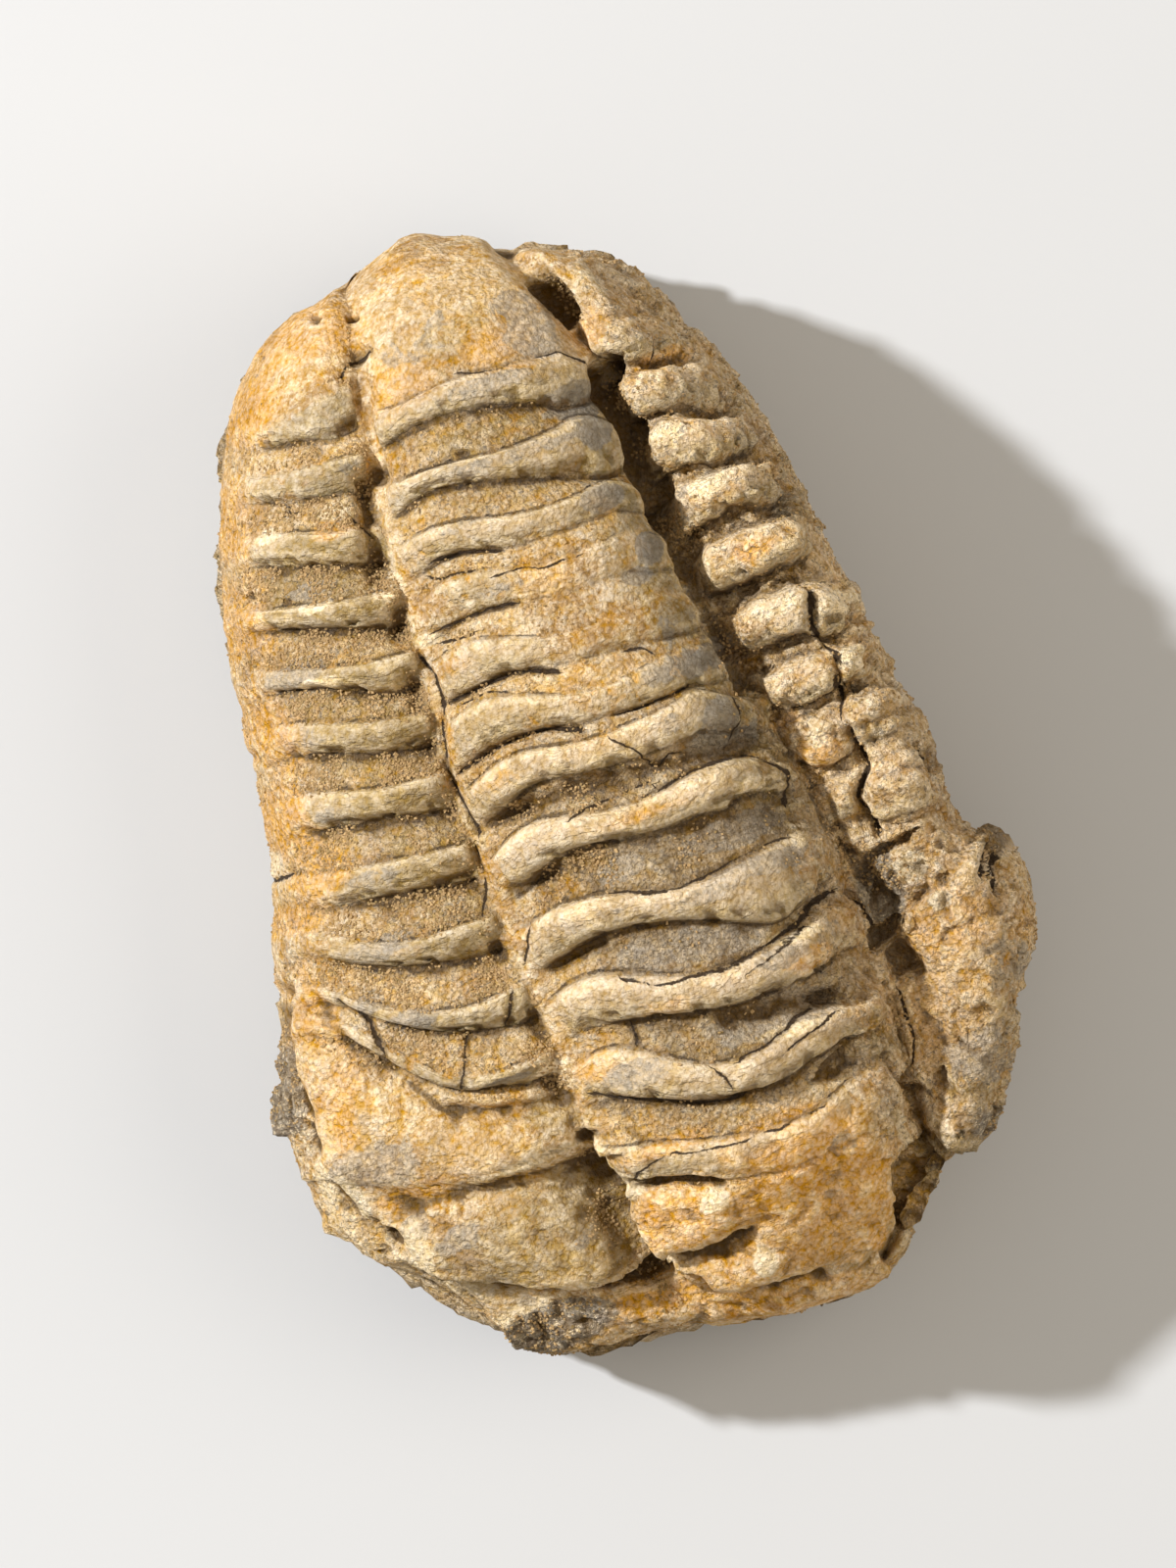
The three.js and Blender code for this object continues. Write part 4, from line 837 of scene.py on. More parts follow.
BLOCKS = [  # height (minus for a hollow), width of the rounded edge, outline
    (0.4, 0.4, (-9, -20.2), (-9, -22), (-8.8, -24.2), (-7.6, -24.2), (-6.3, -23.4), (-6.5, -21.2), (-7, -20)),
    (0.5, 1.5, (-8.8, -24.8), (-8.7, -26.2), (-8.1, -27.6), (-7, -28.5), (-5, -28.9), (-3.3, -28.6),
     (-2.4, -27.8), (-2.2, -26.4), (-2.5, -25.4), (-3.2, -25.1), (-5, -24.6), (-7, -24.1)),
    (0.7, 0.8, (-7.2, -29.4), (-5.7, -30.6), (-5.2, -31.5), (-3, -32), (-0.9, -31.8), (0.2, -30.8),
     (-1.5, -30.1), (-3.8, -30.2), (-5.2, -29.6)),
    (0.6, 0.6, (-6, -32.2), (-3.5, -33.2), (0, -33.6), (3, -33.4), (5.3, -32.6), (5.9, -33.8), (4, -34.8),
     (0, -34.6), (-4, -34.5), (-6.3, -33.2)),
    (-1.7, 0.8, (-13, -29.2), (-10.6, -29), (-8.2, -28.9), (-6.9, -30), (-7.6, -30.6), (-10, -30.4),
     (-11.8, -30)),
    (0.9, 3.0, (-25.4, -8), (-26, -13), (-25.4, -17), (-21, -19.2), (-15, -19.8), (-10.4, -19.8),
     (-10.2, -17.6), (-15, -17), (-18, -15), (-20.5, -11), (-22.5, -8), (-24.2, -5)),
    (0.5, 2.6, (-23, -20.6), (-19, -20.7), (-15.5, -21.2), (-12.5, -22.4), (-10.6, -23), (-10.4, -26),
     (-10.8, -28.2), (-12, -28.5), (-15, -27.3), (-18.5, -25.4), (-20.5, -23.8), (-22.5, -22)),
    (-0.2, 0.5, (-13.6, -20.9), (-12.4, -22), (-9.2, -22.2), (-9.2, -20.6)),
    (0.35, 0.4, (9.6, 16.2), (9.9, 17.2), (11, 17.6), (12.4, 17.2), (12.5, 16.2), (11.5, 15.7), (10, 15.8)),
    (0.63, 0.5, (9.2, 11), (9.3, 12.4), (9.9, 13.2), (11.5, 13.4), (13.8, 13.3), (14.9, 12.8), (15.4, 12.1),
     (15.2, 10.8), (14.6, 10.3), (12, 10.2), (10, 10.1), (9.4, 10.3)),
    (0.56, 0.4, (9.5, 6.2), (9.4, 7), (9.8, 7.8), (10.4, 8.6), (10.6, 9), (13, 9), (14, 9.3), (14.7, 8.9),
     (14.6, 7.3), (14.4, 6.3), (13.2, 5.9), (11, 5.9), (10, 5.8)),
    (0.49, 0.4, (10.5, 4.2), (10.8, 4.8), (14.4, 4.5), (14.7, 4), (15.1, 3), (14.9, 2.1), (13.5, 1.7),
     (12.3, 1.6), (11.5, 2.2), (10, 2.3), (9.7, 2.8), (10.3, 3.4)),
    (0.35, 0.25, (10.5, 1.1), (11.2, 1.9), (12.2, 1.4), (12.1, 0.5), (11.2, 0.3)),
    (0.49, 0.4, (11.4, -1.5), (12.3, 0), (12.4, 1), (13.9, 0.9), (14, 0), (13.7, -1.2), (14.1, -2.4),
     (12.5, -2.6), (11.1, -2.4)),
    (0.42, 0.3, (12.1, -4), (13.5, -3.8), (13.6, -4.8), (13.3, -6), (13.4, -7.5), (12.3, -7.8), (12, -6)),
    (0.56, 0.35, (15, 8), (16, 8.3), (17.3, 8.2), (17.7, 7.2), (17.6, 5.8), (16.5, 6), (15.8, 6.2), (15, 6.6)),
    (0.35, 0.25, (15.9, 5.6), (17.2, 5.4), (18, 5), (17.4, 4.6), (16.2, 4.6)),
    (0.49, 0.25, (15.4, 3.9), (16.3, 4.2), (16.8, 4), (16.7, 2.6), (16.3, 2.4), (15.4, 2.9)),
    (0.28, 0.3, (17, 4.2), (17.9, 4.4), (18.5, 3.6), (18.4, 2), (17, 2.3)),
    (-1.4, 0.3, (15.1, 2.2), (16.9, 2.3), (16.9, 1.4), (15.8, 1.1), (14.9, 1.2)),
    (0.28, 0.3, (15, 0.9), (16.5, 1), (18.4, 0.9), (18.9, -0.5), (17, -0.6), (15, -0.5)),
    (0.35, 0.4, (15, -1), (17, -0.9), (18.9, -1), (19.4, -2.3), (18.3, -3), (18, -3.9), (16, -4),
     (15.2, -3.7), (15.1, -2.5)),
    (0.42, 0.5, (14.6, -4.6), (16, -4.3), (18, -4.6), (18.5, -5.7), (19, -6.8), (18.3, -7.5), (16.5, -7.6),
     (14.7, -7.3), (14.2, -6)),
    (-1.3, 0.6, (11.5, -6.2), (12.6, -8.6), (14, -8.2), (17, -7.9), (15.6, -9.1), (13.2, -9.3),
     (13.7, -10.8), (14.5, -12.3), (13, -13), (12, -13.2), (12, -11), (11.5, -8.5)),
    (0.6, 0.2, (13.2, -9.4), (15.3, -9.3), (15.2, -10.2), (16, -11.2), (16, -11.6), (14.8, -12.2),
     (14.3, -11), (13.5, -10.2)),
    (-2.2, 0.45, (11.2, -14.3), (12, -13.2), (13.9, -12.7), (13.6, -13.8), (12.8, -14.3), (11.8, -14.7)),
    (-1.3, 0.4, (12.1, -15), (13.3, -14.6), (13.9, -15.6), (14, -16.6), (12.3, -16.8), (12, -16)),
    (0.6, 0.2, (10.7, -14.9), (11.3, -15.1), (11.9, -16.4), (11.6, -17), (11, -16.2)),
    (-1.1, 0.3, (6.9, -16.3), (8.3, -15.8), (9, -16.2), (8.4, -16.9), (7.2, -16.8)),
    (0.5, 0.25, (8.3, -18.9), (9.7, -18.5), (10, -20.2), (9.8, -21), (8.5, -20.6)),
    (-0.6, 0.3, (6.9, -19.9), (8, -19.5), (8.1, -21), (6.6, -21.6), (5, -21.2)),
    (0.8, 0.7, (14.1, -12.9), (15.3, -12.5), (16.5, -12), (18, -11.3), (19.3, -10.3), (20.6, -9.6),
     (22, -12), (21.8, -15.2), (20.6, -17.6), (18.8, -20.2), (17.7, -23), (15.2, -26.7), (13.4, -28.5),
     (11.6, -28), (11.2, -26.5), (11.3, -24), (10.8, -21.5), (11.6, -19.5), (11.9, -17.4), (14.2, -17),
     (13.8, -14.8)),
    (-0.9, 0.7, (8.1, -27.7), (9.6, -26.9), (10.6, -26.7), (11.1, -28.2), (13.2, -28.7), (11.8, -30.4),
     (8.2, -32.4), (6.8, -31.6), (7.6, -29.6)),
    (-2.2, 0.6, (4.9, 33.8), (5.8, 33), (6.7, 32.2), (7, 31), (7.1, 30), (6.7, 29.2), (6.1, 30.2),
     (5.5, 31), (5, 32)),
    (-1.8, 0.35, (7.3, 26.4), (8, 26.8), (9.2, 26.5), (8.8, 25.7), (8.3, 25), (7.5, 24.6)),
    (0.9, 0.8, (-24.2, 8), (-24.4, 10), (-23.6, 12), (-22.4, 13.4), (-21.9, 11), (-22.3, 8.3)),
    (1.1, 0.7, (-25.6, -3.4), (-27.6, -7), (-29.8, -10), (-28.8, -12.6), (-27.4, -13.4), (-27.3, -10),
     (-26.5, -7)),
]
CRACKS = [  # depth, half width, points
    (0.7, 0.11, (-9.4, 12.4), (-8.9, 11), (-8.9, 9.6), (-9.4, 8), (-9.9, 6.6), (-10.2, 5.5), (-10.1, 4),
     (-9.8, 2), (-9.7, 0.8)),
    (0.5, 0.09, (-10.1, 0), (-10.2, -1.8), (-10.6, -3), (-11.1, -4.2)),
    (0.6, 0.12, (-11.1, -9.5), (-11.9, -11)),
    (0.6, 0.12, (-14.7, -11), (-15.3, -12.6), (-15.9, -13.9)),
    (0.4, 0.08, (0.2, 3.6), (1.2, 2.6), (1.7, 1.8)),
    (0.4, 0.08, (8.1, 3.8), (8.2, 2.2), (7.4, 0.8)),
    (0.5, 0.1, (2, 1.5), (2.5, 0.8), (3.4, 1.4), (4.2, 1.3)),
    (0.7, 0.13, (-21.5, -6.3), (-20.5, -7.9), (-19.9, -10.3)),
    (0.5, 0.09, (-8.5, -6), (-8.8, -7), (-9.4, -7.7)),
    (0.7, 0.13, (11.2, -10.5), (11.7, -11.6), (11.9, -13)),
    (0.6, 0.12, (-6.8, 17.8), (-5, 17.9), (-3.6, 17.5), (-2.7, 17.2)),
    (0.6, 0.11, (-8, 13.7), (-6, 13.8), (-4.6, 13.9), (-2.8, 13.7)),
    (0.8, 0.15, (-8.6, 9.2), (-7, 9.4), (-4.6, 9.6), (-3, 9.2), (-1.7, 8.7)),
    (0.8, 0.15, (-9.4, 4.8), (-8, 5.3), (-5.6, 5.6), (-3.6, 5.5), (-1.5, 4.8)),
    (0.4, 0.1, (1, 5), (2.5, 4.8), (5, 5), (5.8, 5.1)),
    (0.4, 0.1, (3, 8.5), (4, 8.3), (4.4, 7.9)),
    (0.4, 0.09, (-7.4, 17), (-7, 16.7), (-6, 16.7), (-4.6, 16.5)),
    (0.4, 0.09, (-8, 12.9), (-7, 12.8), (-6, 12.8)),
    (0.4, 0.09, (-8.1, 8.8), (-7, 8.9), (-6, 8.9), (-5, 8.5)),
    (0.4, 0.08, (-3.4, 15.7), (-2, 15.7), (0, 15.2), (2, 15.2)),
    (0.4, 0.09, (-3.8, -0.2), (-2, 0), (0.5, 0.2), (1.4, 0.2)),
    (0.5, 0.13, (2.2, -0.4), (3.5, -0.2), (5, 0), (7, 0), (8.3, -0.1), (9, -0.9), (9.7, -1.9), (9.9, -3),
     (9.6, -3.8)),
    (0.4, 0.09, (-3, -5.6), (-1, -6.3), (1, -6.6), (3, -6.6), (5, -6.2), (7, -6), (8.6, -5.9)),
    (0.4, 0.09, (-4, -10.8), (-2.5, -11.8), (-0.5, -12.2), (2, -12.4)),
    (0.5, 0.14, (2, -12.5), (4, -12.3), (6, -11.9), (8, -11.3), (9, -10.6), (10.4, -10.2)),
    (0.4, 0.08, (7.5, -11.9), (5, -12.6), (3.4, -13.1)),
    (0.4, 0.1, (1.2, -18.2), (3, -18), (4.2, -17.6), (5.4, -17), (7, -16.8)),
    (0.4, 0.08, (7.6, -17.3), (6.5, -17.7), (5, -18.2), (3.5, -18.7)),
    (0.4, 0.1, (-4.9, -14), (-4.8, -15)),
    (0.5, 0.1, (-0.6, -18.2), (0, -18.8), (0, -19.3)),
    (0.5, 0.12, (-8.2, -17.2), (-7, -18.2), (-5, -18.9), (-3, -19.8), (-1, -20.4), (0.7, -20.6)),
    (0.4, 0.07, (-4.6, -22.2), (-3, -22.7), (-1, -23), (2, -23.2), (5.2, -22.8)),
    (0.4, 0.08, (-7.7, -23.2), (-7, -22.7), (-6.4, -22.5), (-5.4, -22.4)),
    (1.1, 0.2, (14.7, -0.8), (14.6, -2), (14.9, -3.4), (14.2, -4.3), (13.7, -5), (13.9, -6), (14.1, -7.6)),
    (0.9, 0.18, (14.9, 9.4), (14.8, 7.5), (14.5, 6), (14.9, 5), (15.3, 4), (15.1, 2.7), (14.6, 1.6),
     (14.5, 0.3)),
    (1.1, 0.2, (18.2, -3.2), (18.5, -4.2), (18.9, -5.3)),
    (1.1, 0.16, (19.2, -12.1), (19.6, -11.5), (20.1, -10.7)),
    (1.1, 0.16, (19.6, -13.5), (19.9, -12.5), (20.4, -11.3)),
    (0.6, 0.12, (12.1, -17.5), (12, -19), (12.1, -20.3), (11.3, -21.9)),
    (0.4, 0.08, (-1.2, 28.5), (0.5, 28.1), (3, 27.9), (5, 27.8), (6.3, 26.6)),
    (0.7, 0.16, (12.6, 27.2), (13.1, 26.4)),
    (0.5, 0.1, (10.7, 26.4), (10.6, 25.6)),
    (0.6, 0.12, (-9.9, 20.8), (-10.6, 22)),
    (0.5, 0.08, (-14.4, 24.1), (-14.4, 23.7)),
    (0.5, 0.08, (-14.8, 23.7), (-14, 23.7)),
    (0.5, 0.12, (-8.4, 30.8), (-7.6, 31.5), (-6.2, 31.9)),
    (0.6, 0.12, (-23.4, 2.4), (-22.6, 2.1), (-21.6, 2.3)),
]
PITS = [  # middle, radii, depth
    ((-8.7, 35, 18), (0.35, 0.3, 4), 0.6),
    ((-6.5, 34.2, 19), (0.35, 0.25, 4), 0.6),
    ((-18.6, 19.7, 17), (0.35, 0.25, 5), 0.5),
    ((-16.3, 18.5, 18), (0.3, 0.3, 5), 0.4),
    ((-2.7, 23.7, 25), (0.4, 0.25, 5), 0.5),
    ((-23.2, -21.7, 12), (0.5, 0.6, 8), 1.2),
    ((-24.1, -20.3, 11), (0.3, 0.3, 8), 0.8),
    ((-24.2, -22.3, 9), (0.35, 0.3, 8), 0.7),
    ((-21.5, 10, 11), (0.3, 0.5, 6), 0.6),
    ((-8, 1, 22), (1.5, 0.5, 5), 0.5),
    ((-7.3, -3.3, 22), (1.2, 0.5, 5), 0.35),
    ((-7, -8.9, 21), (1.3, 0.45, 5), 0.3),
    ((-9.7, -19.6, 18), (0.9, 0.4, 5), 0.8),
]

# %% [markdown]
# ## Pressing the features in
# Every kind of feature asks one question of each point: how far is it from a line, and on which side? From
# that distance comes the height: a bell for a groove, a step for a ledge, a rounded shoulder for a block.
# A little noise is added to the distance first, so that no edge runs as smoothly as it was drawn. A boolean
# cut with modelled chisels would do the same work, but would leave hundreds of ragged faces to mend.

# %% Pressing the features in
def inside(outline, x, y):
    """True where a point lies within a closed outline."""
    within = np.zeros(x.shape, bool)
    for (ax, ay), (bx, by) in zip(outline, outline[1:] + outline[:1]):
        crosses = (ay > y) != (by > y)
        reach = ax + (y - ay) * (bx - ax) / np.where(by == ay, 1e-9, by - ay)
        within ^= crosses & (x < reach)
    return within


def block_share(outline, edge, x, y, ragged):
    """1 on top of a block, 0 off it, with a shoulder that is round above and sharp at its foot."""
    gap, _ = nearest(outline + outline[:1], x, y)
    depth = np.where(inside(outline, x, y), gap, -gap) + ragged
    t = np.clip(depth / edge, 0, 1)
    return np.sqrt(1 - (1 - t) ** 2)


def shape_features(points):
    """How far the listed features raise or press each point, in mm."""
    x, y, _ = np.moveaxis(points, -1, 0)
    ragged = 0.16 * noise(points, 1.3, 7) + 0.1 * noise(points, 0.6, 8)
    height = np.zeros(x.shape)
    for depth, half, *line in GROOVES:
        gap, side = nearest(line, x, y)
        left_half, right_half = half if isinstance(half, tuple) else (half, half)
        height -= depth * bell((gap + ragged) / np.where(side > 0, right_half, left_half))
    for drop, run, *line in LEDGES:
        gap, side = nearest(line, x, y)
        reach = 1 - ramp(gap, run * 0.8, run * 3)
        height -= drop / 2 * reach * side * ramp(gap + ragged * side, 0, 0.4)
    for tall, edge, *outline in BLOCKS:
        height += tall * block_share(outline, edge, x, y, ragged)
    for depth, half, *line in CRACKS:
        gap, _ = nearest(line, x, y)
        height -= depth * min(half / 0.25, 1) * bell((gap + ragged * 0.5) / max(half, 0.25))
    for middle, radii, depth in PITS:
        gap = np.linalg.norm((points - middle) / radii, axis=-1)
        height -= depth * (1 - ramp(gap + ragged, 0.5, 1.5))
    return height


def crack_lines(points):
    """Signed distance to the nearest crack in mm, and that crack's half width where it is near.

    A crack is thinner than the mesh's faces, so it can't be a dark colour on the points. The distance
    changes evenly from face to face, and the material finds the thin line where it passes nought."""
    x, y, _ = np.moveaxis(points, -1, 0)
    ragged = 0.1 * noise(points, 1.3, 7) + 0.06 * noise(points, 0.6, 8)
    best = np.full(x.shape, np.inf)
    distance = np.full(x.shape, 9.0)
    width = np.zeros(x.shape)
    for _, half, *line in CRACKS:
        gap, side = nearest(line, x, y)
        nearer = gap < best
        distance = np.where(nearer, gap * side + ragged, distance)
        width = np.where(nearer, half * (1 - ramp(gap, 0.25, 0.6)), width)
        best = np.minimum(best, gap)
    return distance, width

# %% [markdown]
# ## Weathered rock
# Weathering left the back almost smooth on the bands and gritty between them, and the crushed right side,
# the flanks and the underside are broken rock. So one noise of several sizes is scaled by a roughness share
# that differs from place to place. Last of all the worn flat is pressed level again, for the stone to lie on.

# %% Weathering
def rib_share(gain):
    """1 where the ribs stand out and 0 where they have faded; with more gain they fade later."""
    return np.clip(strength * gain, 0, 1)


RUBBLE = [  # x, y, radius along x and along y, strength: where bare broken rock shows
    (-15.5, -30.8, 3.4, 1.7, 1.0), (13.5, -29, 1.5, 1, 0.3), (-27.5, -10, 1.6, 4, 0.8),
    (14.5, -27, 1.5, 1.5, 0.6), (13.2, -11, 1.6, 2.5, 0.7), (15.5, 15, 1.4, 4, 0.4),
]
band_share = np.mod(place, 1)
in_groove = (1 - ramp(band_share, BAND_START - 0.05, BAND_START + 0.05)) * rib_share(1.6)


def spots_share(spots):
    """A share from 0 to 1 at each point: soft ovals in plan, with edges that the noise breaks up."""
    x, y = smooth[..., 0], smooth[..., 1]
    broken = 0.8 * noise(smooth, 2.2, 21)
    total = np.zeros(x.shape)
    for px, py, rx, ry, strength_here in spots:
        gap = np.hypot((x - px) / rx, (y - py) / ry) * (1 + 0.3 * broken)
        total = np.maximum(total, strength_here * (1 - ramp(gap, 0.45, 1.5)))
    return total * on_back


crushed = ramp(smooth[..., 0], 7, 9) * on_back
broken_head = ramp(segment, 11.6, 12.6) * on_back
flank = ramp(np.abs(across), 0.75, 0.95) * ((part == LEFT) | (part == RIGHT))
rubble = spots_share(RUBBLE)
gritty = np.clip(0.3 + 0.5 * in_groove + 0.4 * crushed + 0.1 * broken_head + 0.3 * flank + 0.6 * rubble
                 + 0.9 * (1 - on_back), 0, 1.3)


def rock_roughness(points):
    """Swells everywhere, grain and facets where the rock is broken, and bites out of the bands' edges."""
    swell = 0.25 * rock_noise(points, 6, 2, 11) + 0.1 * rock_noise(points, 2.4, 2, 16)
    grain = 0.17 * rock_noise(points, 1.0, 3, 12) * gritty
    chips = -0.45 * ramp(rock_noise(points, 2.1, 2, 15), 0.38, 0.5) * np.clip(crushed + 0.4 * broken_head, 0, 1)
    edge = ramp(band_share, 0.78, 0.9) * rib_share(1.4)
    bites = -0.45 * ramp(noise(points, 0.9, 17), 0.1, 0.3) * edge
    bent = points + 0.5 * noise(points, 2.5, 18)[..., None]
    broken = np.clip(0.5 * crushed + 0.2 * broken_head + 0.15 * flank + 0.7 * rubble + 0.1, 0, 1.2)
    split = 0.5 * facets(bent, 1.3, 19) * broken
    rock = 0.85 * rock_noise(points, 6.5, 2, 13) + 0.45 * rock_noise(points, 2.4, 3, 14)
    rock = rock + 0.5 * facets(bent, 2.2, 20) + 0.2 * facets(bent, 0.9, 22)
    return (swell + grain + chips + bites + split) * on_back + rock * (1 - on_back)


FLAT_MIDDLE = (-3.5, 2.0)  # the worn flat that the stone lies on, in plan
FLAT_RADII = (13.5, 23.0)


FLAT_RIM = 0.9  # mm that the rock stands off the table round the flat


def settled(points):
    """The worn flat stays a plane, and the rock round it rises a little."""
    x = (points[..., 0] - FLAT_MIDDLE[0]) / FLAT_RADII[0]
    y = (points[..., 1] - FLAT_MIDDLE[1]) / FLAT_RADII[1]
    outside = ramp(np.hypot(x, y), 1, 1.35)
    z = np.maximum(points[..., 2], FLAT_RIM * outside)
    z = np.where(z < 1.6, z * outside, z)
    points[..., 2] = np.where(part == UNDER, z, points[..., 2])
    return points


feature_height = shape_features(smooth)
feature_share = np.where((part != UNDER) | (smooth[..., 2] > 5), 1.0, 0.0)
move = feature_height * feature_share + rock_roughness(ribbed)
shaped = settled(ribbed + outward * move[..., None])
print("stone, mm:", np.round(shaped.reshape(-1, 3).max(0) - shaped.reshape(-1, 3).min(0), 1))

# %% [markdown]
# ## Hollows and edges
# The hollows of a stone are darkened, partly with dirt and partly with painted shade, and its edges are rubbed
# pale. Both are found in one way: the shaped grid is blurred, and what lies below its blurred self is hollow,
# while what stands above it is an edge. A narrow window finds scratches and lips, and a wide one finds
# furrows.

# %% Hollows and edges
def hollow(rows, columns, full):
    """How deep each point lies in its surroundings, in mm, as a share of `full`: minus on an edge."""
    gap = blurred(shaped, rows, columns, 1) - shaped
    return np.sum(gap * outward, axis=-1) / full


fine_hollow = hollow(2, 2, full=0.07)
wide_hollow = hollow(7, 5, full=0.4)
print("hollow shares:", np.round(np.percentile(wide_hollow, [1, 50, 99]), 2))

# %% [markdown]
# ## Lips
# Along the upper edge of every band runs a lip: a thread of shadow below it, and a rubbed pale thread on it.
# Each is thinner than a face of the mesh, so it can't be painted on the points. The mesh stores how far each
# point is from the lip instead, with a sign for its side, and how wide the thread is there. That distance
# changes evenly from face to face, so the material can find the thin line where it passes nought.

# %% Lips
pitch = np.linalg.norm(np.gradient(smooth, axis=0), axis=-1) / np.gradient(segment, axis=0)


def band_inset():
    """Signed distance in mm to the nearest edge of a band: plus on the band, minus in the groove."""
    middle_of_groove, middle_of_band = BAND_START / 2, (1 + BAND_START) / 2
    share = np.where(band_share > middle_of_band, 1 - band_share, band_share - BAND_START)
    return np.where(band_share < middle_of_groove, -band_share, share) * pitch


LIP_WIDTH = 0.13  # mm, half of the widest thread along a lip


def lips():
    """Signed distance in mm from the lip of each band, and the half width of the line along it."""
    distance = (band_share - BAND_START) * pitch
    near = 1 - ramp(np.abs(distance), 0.45, 0.7)
    shows = rib_share(1.6) * (1 - 0.7 * crushed) * np.where(part == LEFT, 0.6, 1.0) * near
    return distance, LIP_WIDTH * shows
